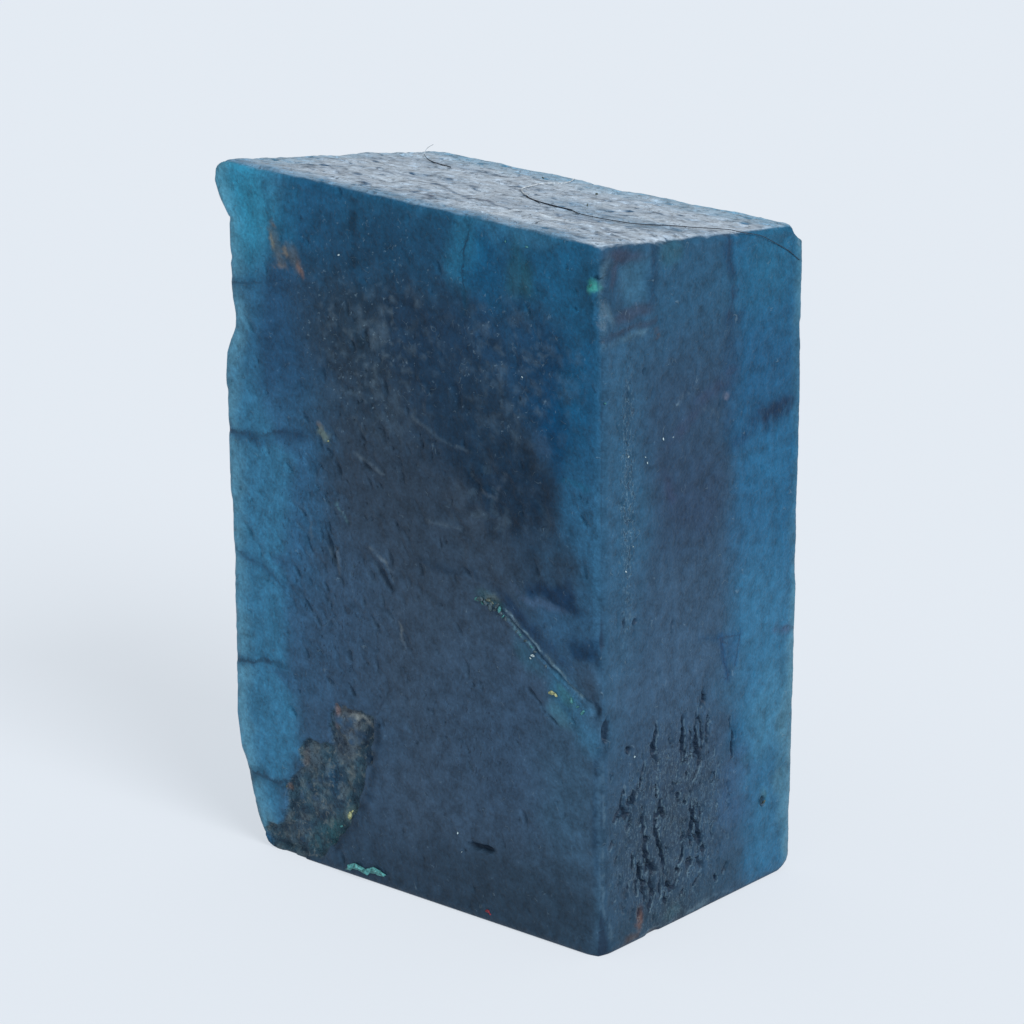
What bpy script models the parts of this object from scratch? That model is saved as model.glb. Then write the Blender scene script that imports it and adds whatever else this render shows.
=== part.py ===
"""Rough aquamarine: one sawn, upright block of dark blue gem rough, as a single solid.

Units are metres, +Z is up, and the origin is on the table under the middle of the stone.
The broad sawn face looks along -Y and the narrow sawn face along +X. The left side (-X) and
the back (+Y) are the crystal's rougher, less worked sides. The base is sawn flat.

Run with: blender --background --python part.py
"""
import bmesh
import bpy
import numpy as np
from mathutils import Vector, noise

MM = 0.001

# ------------------------------------------------------------------ driving dimensions
COLLECTION = "rough_aquamarine"
NODE = "aquamarine"

# Sawn corners before wear, in millimetres, keyed by side: (left/right, front/back, base/top).
CORNERS = {
    (-1, -1, -1): (-13.08, -8.57, 0.00),
    (1, -1, -1): (13.95, -8.57, 0.00),
    (1, 1, -1): (13.85, 8.74, 0.00),
    (-1, 1, -1): (-12.53, 8.64, 0.00),
    (-1, -1, 1): (-12.83, -8.57, 39.68),
    (1, -1, 1): (13.65, -8.57, 38.24),
    (1, 1, 1): (13.77, 8.71, 36.84),
    (-1, 1, 1): (-11.73, 7.79, 38.36),
}

# Wear radius of each sawn edge, in millimetres, by the two sides that it joins.
EDGE_WEAR = {
    ("front", "right"): 0.40,
    ("front", "left"): 0.45,
    ("back", "right"): 0.60,
    ("back", "left"): 0.95,
    ("front", "top"): 0.38,
    ("right", "top"): 0.32,
    ("back", "top"): 0.85,
    ("left", "top"): 0.90,
    ("front", "base"): 0.16,
    ("right", "base"): 0.18,
    ("back", "base"): 1.50,
    ("left", "base"): 0.60,
}

# How far the left side reaches (x) at each height (z), in millimetres: the broken foot, the
# swollen middle, the notch above it and the lug at the top.
LEFT_OUTLINE = (
    (0.0, -10.76),
    (1.1, -11.31),
    (2.5, -11.83),
    (4.2, -12.21),
    (5.6, -12.83),
    (7.8, -13.11),
    (20.3, -13.14),
    (20.9, -13.31),
    (25.9, -13.35),
    (27.4, -13.47),
    (28.8, -13.35),
    (29.5, -13.07),
    (30.3, -12.65),
    (31.4, -12.67),
    (32.0, -12.91),
    (36.5, -12.91),
    (37.5, -13.49),
    (38.4, -13.91),
    (39.2, -13.87),
    (39.8, -13.51),
)
LEFT_BLEND = 7.0            # depth of stone, from the left side, that follows the outline
LEFT_EASE = 0.55            # share of the outline that is left at the back edge

VOXEL = 0.28                # cell of the even mesh that the relief is pressed into
BASE_TRIM = 0.04            # thickness sawn off the foot to leave it dead flat
TRIANGLES = 9000            # triangles of the finished solid, before the base is closed

WAVES = ((7.0, 0.17), (2.4, 0.09))     # soft unevenness: size of the wave, height
SAWN_SHARE = 0.16           # how much of it a sawn side keeps
WANDER = (0.9, 0.13)        # how pits and cracks stray from a plain outline: size, distance
SEED = 11

# Where a side begins to count as facing a direction, and where it fully does.
FACING = (0.35, 0.85)
FREE = (0.05, 1.0)          # heights over which relief fades in above the flat base
PIT_WALL = (0.25, 1.25)     # how far out a pit's wall starts and ends, as a share of its size
CRACK_WALL = (0.3, 1.2)     # the same for a crack, as a share of its width
CRUST_WALL = (0.82, 1.04)   # the same for the crusted hollow
BEVEL_STEPS = 4

COLOUR = (0.035, 0.095, 0.165, 1.0)
ROUGHNESS = 0.42

# Chips struck off the stone, in millimetres: centre, radii, direction in which they bite.
CHIPS = (
    # the nick at the top of the front edge
    ((13.2, -9.85, 36.5), (1.7, 1.5, 1.6), (0.0, 1.0, 0.0)),
    # along the top edges
    ((7.1, -9.0, 39.1), (1.6, 0.75, 1.0), (0.0, 0.6, -0.8)),
    ((14.2, 0.4, 37.6), (0.75, 1.3, 0.6), (-0.7, 0.0, -0.7)),
    ((14.1, -3.2, 37.9), (0.7, 0.9, 0.55), (-0.7, 0.0, -0.7)),
    ((1.5, 8.3, 38.4), (3.0, 1.3, 1.5), (0.0, -0.8, -0.6)),
    ((-8.7, 8.1, 39.3), (2.2, 1.3, 1.9), (0.2, -0.8, -0.6)),
    ((14.4, 9.3, 37.2), (1.9, 2.0, 1.5), (-0.7, -0.5, -0.5)),
    # down the right and the hidden upright edges
    ((14.4, 9.3, 13.8), (0.9, 0.9, 0.8), (-0.7, -0.7, 0.0)),
    ((14.4, 9.3, 5.3), (0.9, 0.8, 0.7), (-0.7, -0.7, 0.0)),
    ((-13.7, 9.6, 30.5), (3.4, 3.0, 4.6), (0.7, -0.7, 0.0)),
    ((-13.9, 10.2, 19.0), (3.4, 3.2, 6.5), (0.7, -0.7, 0.0)),
    ((-13.3, 10.4, 6.0), (4.2, 3.6, 5.8), (0.7, -0.7, 0.0)),
    # the foot of the stone
    ((-9.1, -9.2, 0.0), (2.6, 0.95, 0.9), (0.0, 0.8, 0.6)),
    ((4.5, -9.1, -0.3), (1.3, 0.7, 0.7), (0.0, 0.8, 0.6)),
    ((14.3, -3.9, -0.2), (0.75, 1.1, 0.75), (-0.8, 0.0, 0.6)),
    ((5.3, 9.4, 1.4), (4.0, 1.0, 1.8), (0.0, -1.0, 0.0)),
)

# Shallow shell-shaped breaks, in millimetres: two places on the side, half sizes, depth.
BREAKS = {
    "right": (
        (-6.70, 35.60, 2.30, 2.55, 0.42),
    ),
    "left": (
        (2.6, 34.3, 6.4, 4.0, 0.75),
        (-3.2, 26.2, 5.2, 3.5, 0.55),
        (4.0, 22.4, 5.6, 5.2, 0.85),
        (-2.2, 14.4, 6.0, 3.7, 0.60),
        (4.8, 10.6, 4.6, 6.0, 0.75),
        (-2.6, 5.0, 5.6, 3.9, 0.55),
    ),
    "back": (
        (-9.93, 25.5, 5.4, 6.8, 0.70),
        (-8.33, 6.4, 4.6, 6.2, 0.50),
        (6.57, 4.6, 5.4, 5.0, 0.45),
        (1.87, 37.0, 6.6, 3.4, 0.40),
    ),
}

BREAK_UNEVEN = (3.2, 0.16)  # how the rims of the breaks stray: size of the wave, share

# Elongated pits, in millimetres: two places on the side, half length, half width, depth, lean.
# The lean is in degrees from upright. On the right and back sides the first place is y and x.
PITS = {
    "right": (
        (-8.05, 12.60, 0.80, 0.28, 0.40, 7),
        (-6.20, 11.05, 0.42, 0.38, 0.45, 0),
        (-4.00, 11.00, 0.95, 0.34, 0.60, 6),
        (-1.65, 10.40, 1.20, 0.34, 0.60, 3),
        (-0.85, 10.05, 1.10, 0.30, 0.52, -3),
        (-0.05, 10.10, 1.15, 0.30, 0.56, 3),
        (0.70, 9.75, 0.85, 0.30, 0.46, -4),
        (0.20, 12.30, 0.45, 0.28, 0.42, 0),
        (2.85, 8.80, 0.75, 0.30, 0.48, -6),
        (-5.00, 9.30, 0.75, 0.32, 0.50, 16),
        (-6.75, 8.50, 0.55, 0.36, 0.48, 18),
        (1.25, 7.50, 0.42, 0.34, 0.36, 0),
        (-1.95, 7.15, 0.40, 0.34, 0.38, 0),
        (-0.40, 8.05, 0.45, 0.34, 0.40, 20),
        (-3.30, 5.40, 1.75, 0.30, 0.48, -5),
        (-4.80, 6.30, 1.05, 0.32, 0.46, -8),
        (-0.65, 5.65, 0.90, 0.34, 0.48, 12),
        (0.05, 4.00, 0.55, 0.36, 0.42, 10),
        (-1.55, 4.05, 0.60, 0.30, 0.42, 14),
        (-5.60, 4.10, 0.90, 0.32, 0.40, 4),
        (-4.75, 3.60, 0.75, 0.32, 0.38, -6),
        (-0.30, 1.90, 0.40, 0.36, 0.38, 0),
        (1.80, 1.55, 0.36, 0.50, 0.38, 0),
    ),
    "front": (
        (-5.08, 19.10, 1.20, 0.32, 0.40, -18),
        (-1.08, 18.35, 1.35, 0.30, 0.36, -22),
        (-2.83, 24.40, 1.20, 0.28, 0.28, 8),
        (0.57, 15.30, 0.75, 0.32, 0.30, -35),
        (10.27, 19.30, 0.55, 0.90, 0.26, -20),
        (13.02, 16.60, 0.50, 0.60, 0.26, 0),
        (5.82, 4.25, 0.26, 1.20, 0.36, 0),
        (-3.48, 36.00, 1.60, 0.38, 0.22, 0),
    ),
    "back": (
        (9.47, 31.0, 2.1, 0.34, 0.55, 3),
        (8.17, 28.2, 1.5, 0.32, 0.50, -4),
        (10.87, 26.8, 1.2, 0.30, 0.45, 4),
        (3.67, 33.4, 1.3, 0.30, 0.40, -6),
        (1.87, 20.2, 2.0, 0.34, 0.55, 5),
        (3.17, 17.6, 1.5, 0.32, 0.50, -5),
        (0.47, 16.4, 1.2, 0.32, 0.45, 3),
        (4.67, 21.6, 1.0, 0.34, 0.45, 8),
        (-3.93, 12.4, 1.8, 0.34, 0.50, -7),
        (-5.73, 10.2, 1.3, 0.32, 0.45, 4),
        (-2.53, 8.8, 0.9, 0.34, 0.40, 0),
        (10.67, 17.0, 1.0, 0.32, 0.40, 6),
    ),
}

# Open cracks, in millimetres: the side, the route across it, the width and the depth.
CRACKS = (
    ("front", ((5.47, 18.4), (7.37, 17.75), (9.87, 15.9), (13.37, 13.7)), 0.42, 0.40),
    ("left", ((-8.2, 31.0), (-3.0, 31.3), (2.5, 29.8), (7.6, 30.6)), 0.30, 0.20),
    ("left", ((-6.4, 17.6), (-1.5, 18.5), (3.2, 16.6), (7.8, 17.4)), 0.30, 0.20),
    ("left", ((-7.4, 9.4), (-3.5, 9.0), (1.5, 10.2)), 0.28, 0.18),
)

# The broken, crusted hollow low on the left of the front: places, half sizes, depth.
CRUST = (
    (-4.33, 8.3, 2.1, 1.75, 0.34),
    (-6.33, 5.3, 2.9, 3.0, 0.36),
    (-8.03, 2.0, 2.9, 2.3, 0.42),
)
CRUST_LUMP = (0.9, 0.22)    # size and height of the lumps left standing in it

# Rounded lumps raised on the left side: centre, radius, height.
LUMPS = (
    ((-12.6, -8.0, 38.2), 2.2, 0.15),
    ((-12.6, 1.5, 29.0), 4.0, 0.30),
    ((-12.6, -6.0, 19.5), 3.6, 0.20),
    ((-12.6, 2.0, 17.0), 4.0, 0.25),
)


# ------------------------------------------------------------------------- small helpers
def rise(value, start, end):
    """Go smoothly from 0 at start to 1 at end."""
    share = np.clip((value - start) / (end - start), 0.0, 1.0)
    return share * share * (3.0 - 2.0 * share)


def unit(vector):
    """Return the vector at length one."""
    vector = np.asarray(vector, dtype=float)
    return vector / np.linalg.norm(vector)


def wave_noise(points, size, seed):
    """Soft noise from about -1 to 1 at each point, with waves of the given size."""
    offset = Vector((seed * 7.3, seed * 3.1, seed * 5.7))
    return np.array([noise.noise(Vector(point) / size + offset) for point in points])


# --------------------------------------------------------------------------- sawn block
def side_names(corner):
    """Name the three sides that meet at a corner of the block."""
    left_right = "right" if corner[0] > 0 else "left"
    front_back = "back" if corner[1] > 0 else "front"
    base_top = "top" if corner[2] > 0 else "base"
    return {left_right, front_back, base_top}


def sawn_block():
    """A cube whose corners stand at the sawn corners, with its edges worn round."""
    form = bmesh.new()
    bmesh.ops.create_cube(form, size=2.0)
    weights = form.edges.layers.float.new("bevel_weight_edge")
    widest = max(EDGE_WEAR.values())
    for edge in form.edges:
        ends = [tuple(round(value) for value in vertex.co) for vertex in edge.verts]
        shared = side_names(ends[0]) & side_names(ends[1])
        wear = next(width for sides, width in EDGE_WEAR.items() if set(sides) == shared)
        edge[weights] = wear / widest
    for vertex in form.verts:
        corner = CORNERS[tuple(round(value) for value in vertex.co)]
        vertex.co = Vector(corner) * MM
    mesh = bpy.data.meshes.new(NODE)
    form.to_mesh(mesh)
    form.free()
    block = bpy.data.objects.new(NODE, mesh)
    bpy.data.collections[COLLECTION].objects.link(block)

    wear = block.modifiers.new("worn edges", "BEVEL")
    wear.limit_method = "WEIGHT"
    wear.width = widest * MM
    wear.segments = BEVEL_STEPS
    even = block.modifiers.new("even mesh", "REMESH")
    even.mode = "VOXEL"
    even.voxel_size = VOXEL * MM
    apply_modifiers(block)
    return block


def apply_modifiers(target):
    """Turn the modified shape of an object into its own mesh."""
    graph = bpy.context.evaluated_depsgraph_get()
    shaped = bpy.data.meshes.new_from_object(target.evaluated_get(graph))
    plain = target.data
    target.modifiers.clear()
    target.data = shaped
    bpy.data.meshes.remove(plain)
    shaped.name = NODE


# ------------------------------------------------------------------------------- relief
class Skin:
    """The points of the stone's surface in millimetres, and ways to press relief into it."""

    def __init__(self, mesh):
        self.mesh = mesh
        count = len(mesh.vertices)
        flat = np.empty(count * 3, dtype=np.float32)
        mesh.vertices.foreach_get("co", flat)
        self.points = flat.reshape(count, 3).astype(float) / MM
        mesh.vertices.foreach_get("normal", flat)
        self.outward = flat.reshape(count, 3).astype(float)

    def write(self):
        """Put the points back into the mesh."""
        flat = (self.points * MM).astype(np.float32).ravel()
        self.mesh.vertices.foreach_set("co", flat)
        self.mesh.update()

    def facing(self, direction):
        """How fully each point looks in a direction, from 0 to 1."""
        return rise(self.outward @ unit(direction), *FACING)

    def free(self):
        """0 on the base, which stays flat, and 1 a little above it."""
        return rise(self.points[:, 2], *FREE)

    def follow_left_outline(self):
        """Move the left side of the stone in or out to its outline."""
        heights, reaches = np.array(LEFT_OUTLINE).T
        x, y, z = self.points.T
        sawn = np.interp(z, (0.0, CORNERS[-1, -1, 1][2]),
                         (CORNERS[-1, -1, -1][0], CORNERS[-1, -1, 1][0]))
        shift = np.interp(z, heights, reaches) - sawn
        near = 1.0 - rise(x - sawn, 0.0, LEFT_BLEND)
        half_depth = CORNERS[-1, 1, 1][1]
        ease = 1.0 - (1.0 - LEFT_EASE) * rise(y, -half_depth, half_depth)
        self.points[:, 0] += shift * near * ease

    def roll(self):
        """Give every side its soft unevenness; the sawn sides keep little of it."""
        sawn = np.maximum(self.facing((0, -1, 0)), self.facing((1, 0, 0)))
        sawn = np.maximum(sawn, self.facing((0, 0, 1)))
        sawn = np.maximum(sawn, self.facing((0, 1, 0)))
        strength = (1.0 - (1.0 - SAWN_SHARE) * sawn) * self.free()
        for number, (size, height) in enumerate(WAVES):
            lift = wave_noise(self.points, size, SEED + number) * height * strength
            self.points += self.outward * lift[:, None]

    def chip(self, centre, radii, direction):
        """Strike off what lies inside an ellipsoid, along one direction."""
        direction = unit(direction) / np.array(radii)
        start = (self.points - np.array(centre)) / np.array(radii)
        reach = start @ direction
        spare = (start * start).sum(axis=1) - 1.0
        length = direction @ direction
        inside = spare < 0.0
        root = np.sqrt(np.maximum(reach * reach - length * spare, 0.0))
        travel = np.where(inside, (root - reach) / length, 0.0)
        self.points += (direction * np.array(radii)) * travel[:, None]

    def shell_breaks(self, side, dishes):
        """Break shallow dishes out of a side; where they overlap, the deeper one counts."""
        first, second, direction, mask = self.plane(side)
        size, share = BREAK_UNEVEN
        uneven = 1.0 + share * wave_noise(self.points, size, SEED + 3)
        sink = np.zeros(len(first))
        for place_1, place_2, half_1, half_2, depth in dishes:
            spread = np.hypot((first - place_1) / half_1, (second - place_2) / half_2)
            sink = np.maximum(sink, depth * (1.0 - (spread * uneven) ** 2))
        self.points -= np.array(direction) * (sink * mask)[:, None]

    def stray(self):
        """Note how far the outline of a pit or a crack strays at each point."""
        size, distance = WANDER
        self.strays = [wave_noise(self.points, size, SEED + turn) * distance for turn in (8, 9)]

    def plane(self, side):
        """The two coordinates that run across a side, and how fully points look out of it."""
        x, y, z = self.points.T
        across = {"front": (x, (0, -1, 0)), "back": (x, (0, 1, 0)),
                  "right": (y, (1, 0, 0)), "left": (y, (-1, 0, 0))}
        first, direction = across[side]
        mask = self.facing(direction) * self.free()
        return first + self.strays[0], z + self.strays[1], direction, mask

    def pit(self, side, place, half_length, half_width, depth, lean):
        """Sink one elongated pit, steep at its rim, into a side."""
        first, second, direction, mask = self.plane(side)
        angle = np.radians(lean)
        along = (second - place[1]) * np.cos(angle) + (first - place[0]) * np.sin(angle)
        across = (first - place[0]) * np.cos(angle) - (second - place[1]) * np.sin(angle)
        spread = np.hypot(along / half_length, across / half_width)
        sink = depth * (1.0 - rise(spread, *PIT_WALL)) * mask
        self.points -= np.array(direction) * sink[:, None]

    def crack(self, side, route, width, depth):
        """Open a crack along a route of straight runs."""
        first, second, direction, mask = self.plane(side)
        nearest = np.full(len(first), np.inf)
        for (start_1, start_2), (end_1, end_2) in zip(route, route[1:]):
            run_1 = end_1 - start_1
            run_2 = end_2 - start_2
            share = (first - start_1) * run_1 + (second - start_2) * run_2
            share = np.clip(share / (run_1 ** 2 + run_2 ** 2), 0.0, 1.0)
            away_1 = first - start_1 - share * run_1
            away_2 = second - start_2 - share * run_2
            nearest = np.minimum(nearest, np.hypot(away_1, away_2))
        sink = depth * (1.0 - rise(nearest / width, *CRACK_WALL)) * mask
        self.points -= np.array(direction) * sink[:, None]

    def crust(self):
        """Break out the crusted hollow, and leave lumps standing in it."""
        first, second, direction, mask = self.plane("front")
        sink = np.zeros(len(first))
        for place_1, place_2, half_1, half_2, depth in CRUST:
            spread = np.hypot((first - place_1) / half_1, (second - place_2) / half_2)
            sink = np.maximum(sink, depth * (1.0 - rise(spread, *CRUST_WALL)))
        size, height = CRUST_LUMP
        lumps = wave_noise(self.points, size, SEED + 5)
        sink = sink * (1.0 - height / max(row[-1] for row in CRUST) * (1.0 + lumps))
        self.points -= np.array(direction) * (sink * mask)[:, None]

    def lump(self, centre, radius, height):
        """Raise a rounded lump around a point."""
        away = np.linalg.norm(self.points - np.array(centre), axis=1)
        lift = height * (1.0 - rise(away, 0.0, radius)) * self.free()
        self.points += self.outward * lift[:, None]


def press_relief(stone):
    """Work all the relief into the stone's skin."""
    skin = Skin(stone.data)
    skin.follow_left_outline()
    skin.roll()
    for centre, radius, height in LUMPS:
        skin.lump(centre, radius, height)
    for centre, radii, direction in CHIPS:
        skin.chip(centre, radii, direction)
    skin.stray()
    for side, dishes in BREAKS.items():
        skin.shell_breaks(side, dishes)
    for side, pits in PITS.items():
        for first, second, half_length, half_width, depth, lean in pits:
            skin.pit(side, (first, second), half_length, half_width, depth, lean)
    for side, route, width, depth in CRACKS:
        skin.crack(side, route, width, depth)
    skin.crust()
    skin.write()


# -------------------------------------------------------------------------------- finish
def thin_out(stone):
    """Keep faces where the relief is, and few where the stone is plain."""
    stone.data.calc_loop_triangles()
    thin = stone.modifiers.new("fewer faces", "DECIMATE")
    thin.decimate_type = "COLLAPSE"
    thin.ratio = TRIANGLES / len(stone.data.loop_triangles)
    apply_modifiers(stone)


def saw_base(stone):
    """Saw the foot off dead flat, and stand the stone on it with its box centred."""
    form = bmesh.new()
    form.from_mesh(stone.data)
    every = form.verts[:] + form.edges[:] + form.faces[:]
    bmesh.ops.bisect_plane(form, geom=every, plane_co=(0, 0, BASE_TRIM * MM),
                           plane_no=(0, 0, 1), clear_inner=True)
    rim = [edge for edge in form.edges if edge.is_boundary]
    bmesh.ops.holes_fill(form, edges=rim, sides=0)
    lows = np.array([vertex.co for vertex in form.verts]).min(axis=0)
    highs = np.array([vertex.co for vertex in form.verts]).max(axis=0)
    middle = Vector(((lows[0] + highs[0]) / 2, (lows[1] + highs[1]) / 2, BASE_TRIM * MM))
    bmesh.ops.translate(form, vec=-middle, verts=form.verts)
    for vertex in form.verts:
        if vertex.co.z < 1e-7:
            vertex.co.z = 0.0
    form.to_mesh(stone.data)
    form.free()


def aquamarine_material():
    """Deep blue stone with a dull, sawn surface."""
    material = bpy.data.materials.new("aquamarine_rough")
    material.use_nodes = True
    shader = material.node_tree.nodes["Principled BSDF"]
    shader.inputs["Base Color"].default_value = COLOUR
    shader.inputs["Roughness"].default_value = ROUGHNESS
    shader.inputs["Metallic"].default_value = 0.0
    material.diffuse_color = COLOUR
    return material


def clear_scene():
    """Start with no objects and one collection for the stone."""
    for old in list(bpy.data.objects):
        bpy.data.objects.remove(old, do_unlink=True)
    collection = bpy.data.collections.new(COLLECTION)
    bpy.context.scene.collection.children.link(collection)


def main():
    clear_scene()
    stone = sawn_block()
    press_relief(stone)
    thin_out(stone)
    saw_base(stone)
    stone.data.materials.append(aquamarine_material())


main()
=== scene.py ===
"""Rough aquamarine: the finished look of a sawn block of gem rough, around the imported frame.

Lengths inside the relief and the materials are in millimetres on the stone; objects are in metres.
The broad sawn face looks along -Y, the narrow sawn face along +X, and the stone stands on z = 0.
"""
import itertools
import math
from functools import partialmethod

import bmesh
import bpy
import numpy as np
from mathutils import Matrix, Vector


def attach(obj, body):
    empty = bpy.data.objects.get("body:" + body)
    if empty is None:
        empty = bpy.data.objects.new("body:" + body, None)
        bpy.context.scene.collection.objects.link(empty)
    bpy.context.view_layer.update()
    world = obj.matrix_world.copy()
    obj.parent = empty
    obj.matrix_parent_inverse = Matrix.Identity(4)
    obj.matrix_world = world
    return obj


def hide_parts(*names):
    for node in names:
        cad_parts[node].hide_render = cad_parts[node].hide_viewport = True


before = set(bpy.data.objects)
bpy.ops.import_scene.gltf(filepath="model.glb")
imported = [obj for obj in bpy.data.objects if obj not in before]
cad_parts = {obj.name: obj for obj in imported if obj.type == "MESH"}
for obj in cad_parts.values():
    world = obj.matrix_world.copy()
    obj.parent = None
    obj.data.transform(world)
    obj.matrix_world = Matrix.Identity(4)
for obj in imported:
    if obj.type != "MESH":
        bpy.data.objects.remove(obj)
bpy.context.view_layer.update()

MM = 0.001
NODE = "aquamarine"
ROOT = "root"
SEED = 5

# --------------------------------------------------------------- planes of the sawn stone
FRONT_Y = -8.567            # the broad face
RIGHT_X = 13.90             # the narrow face at its foot
RIGHT_LEAN = -0.0079        # how its x changes with height
TOP_Z = 38.248              # the top above the middle of the base
TOP_LEAN = (-0.0544, -0.081)            # how it changes with x and y
BACK_Y = 8.72               # the back at its lower right
BACK_LEAN = 0.9             # how far its upper left corner stands in
LEFT_REACH = (              # the broken left side: height, x
    (0.0, -10.8), (4.2, -12.3), (8.0, -13.1), (28.0, -13.4), (30.5, -12.7), (36.5, -12.9),
    (38.4, -13.9), (40.0, -13.6),
)
WIDTH = 26.5
HEIGHT = 38.0

# ----------------------------------------------------------------------------- stage
LENS = 112.5
SENSOR = 36.0
CLIP = (0.01, 20.0)
AZIMUTH = math.radians(40.565)
ELEVATION = math.radians(15.76)
CAMERA_PLACE = (111.62, -129.90, 68.48)
FLOOR_SIDE = 6.0
FLOOR_COLOUR = (0.19, 0.20, 0.215, 1.0)
FLOOR_LIGHT = (0.565, 0.607, 0.656, 1.0)
SKY_COLOUR = (0.95, 0.98, 1.0, 1.0)
SKY_STRENGTH = 0.55
KEY_DIRECTION = (0.80, -0.21, 0.56)     # from the stone towards the soft lamp
KEY_STRENGTH = 3.2
KEY_SPREAD = math.radians(30)


def put(name, data):
    """Place a new object in the scene."""
    placed = bpy.data.objects.new(name, data)
    bpy.context.scene.collection.objects.link(placed)
    return placed


def make_camera():
    """A long lens looking down on the front right corner of the stone."""
    data = bpy.data.cameras.new("camera")
    data.lens = LENS
    data.sensor_width = SENSOR
    data.clip_start, data.clip_end = CLIP
    camera = put("camera", data)
    camera.location = Vector(CAMERA_PLACE) * MM
    camera.rotation_euler = (math.pi / 2 - ELEVATION, 0.0, AZIMUTH)
    bpy.context.scene.camera = camera


def make_sky():
    """Even, soft light from all round."""
    world = bpy.data.worlds.new("studio")
    bpy.context.scene.world = world
    world.use_nodes = True
    light = world.node_tree.nodes["Background"]
    light.inputs["Color"].default_value = SKY_COLOUR
    light.inputs["Strength"].default_value = SKY_STRENGTH


def make_lamp():
    """A large soft lamp high on the narrow face's side, which rakes over the broad face."""
    data = bpy.data.lights.new("soft lamp", "SUN")
    data.energy = KEY_STRENGTH
    data.angle = KEY_SPREAD
    lamp = put("soft lamp", data)
    lamp.rotation_euler = Vector(KEY_DIRECTION).to_track_quat("Z", "Y").to_euler()


def make_floor():
    """A plain pale floor that runs out of sight."""
    half = FLOOR_SIDE / 2
    corners = [(-half, -half, 0), (half, -half, 0), (half, half, 0), (-half, half, 0)]
    mesh = bpy.data.meshes.new("floor")
    mesh.from_pydata(corners, [], [(0, 1, 2, 3)])
    floor = put("floor", mesh)
    paint = Material("floor")
    paint.set({"Base Color": FLOOR_COLOUR, "Roughness": 0.9, "Specular IOR Level": 0.0,
               "Emission Color": FLOOR_LIGHT, "Emission Strength": 1.0})
    mesh.materials.append(paint.data)


# ------------------------------------------------------------------------- small helpers
HASH = (374761393, 668265263, 1274126177, 974634777)
WORD = 0xFFFFFFFF
OCTAVE_SHIFT = 17.3


def rise(value, start, end):
    """Go smoothly from 0 at start to 1 at end."""
    share = np.clip((value - start) / (end - start), 0.0, 1.0)
    return share * share * (3.0 - 2.0 * share)


def fall(value, start, end):
    """Go smoothly from 1 at start to 0 at end."""
    return 1.0 - rise(value, start, end)


def lattice_value(cells, seed):
    """A fixed value from -1 to 1 for each cell of a lattice."""
    first, second, third, fourth = HASH
    mixed = (cells[0] * first + cells[1] * second + cells[2] * third + seed * fourth) & WORD
    mixed = ((mixed ^ (mixed >> 13)) * third) & WORD
    mixed = ((mixed ^ (mixed >> 15)) * second) & WORD
    return ((mixed ^ (mixed >> 16)) & 0xFFFF) / 32767.5 - 1.0


def waves(places, size, seed, octaves=1):
    """Soft noise from about -1 to 1 at each place; size may differ by direction."""
    total = np.zeros(len(places[0]))
    strength = 1.0
    sizes = np.broadcast_to(np.asarray(size, dtype=float), (3,))
    for octave in range(octaves):
        shrink = 0.5 ** octave
        spots = [place / (length * shrink) + OCTAVE_SHIFT * octave
                 for place, length in zip(places, sizes)]
        cells = [np.floor(spot).astype(np.int64) for spot in spots]
        parts = [spot - cell for spot, cell in zip(spots, cells)]
        eased = [part * part * (3.0 - 2.0 * part) for part in parts]
        for corner in itertools.product((0, 1), repeat=3):
            share = strength
            for side, ease in zip(corner, eased):
                share = share * (ease if side else 1.0 - ease)
            nearby = [cell + side for cell, side in zip(cells, corner)]
            total += share * lattice_value(nearby, SEED + seed + octave)
        strength *= 0.5
    return total


def top_height(x, y):
    """Height of the sawn top at a place."""
    return TOP_Z + TOP_LEAN[0] * x + TOP_LEAN[1] * y


def right_reach(z):
    """How far out the narrow face stands at a height."""
    return RIGHT_X + RIGHT_LEAN * z


def apply_modifiers(target):
    """Turn the modified shape of an object into its own mesh."""
    graph = bpy.context.evaluated_depsgraph_get()
    shaped = bpy.data.meshes.new_from_object(target.evaluated_get(graph))
    plain = target.data
    target.modifiers.clear()
    target.data = shaped
    bpy.data.meshes.remove(plain)


def shade_smooth(mesh, smooth=True):
    mesh.polygons.foreach_set("use_smooth", [smooth] * len(mesh.polygons))


# ----------------------------------------------------------------- relief of the stone
VOXEL = 0.105               # cell of the even mesh, in millimetres
TRIANGLES = 188_000

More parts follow.
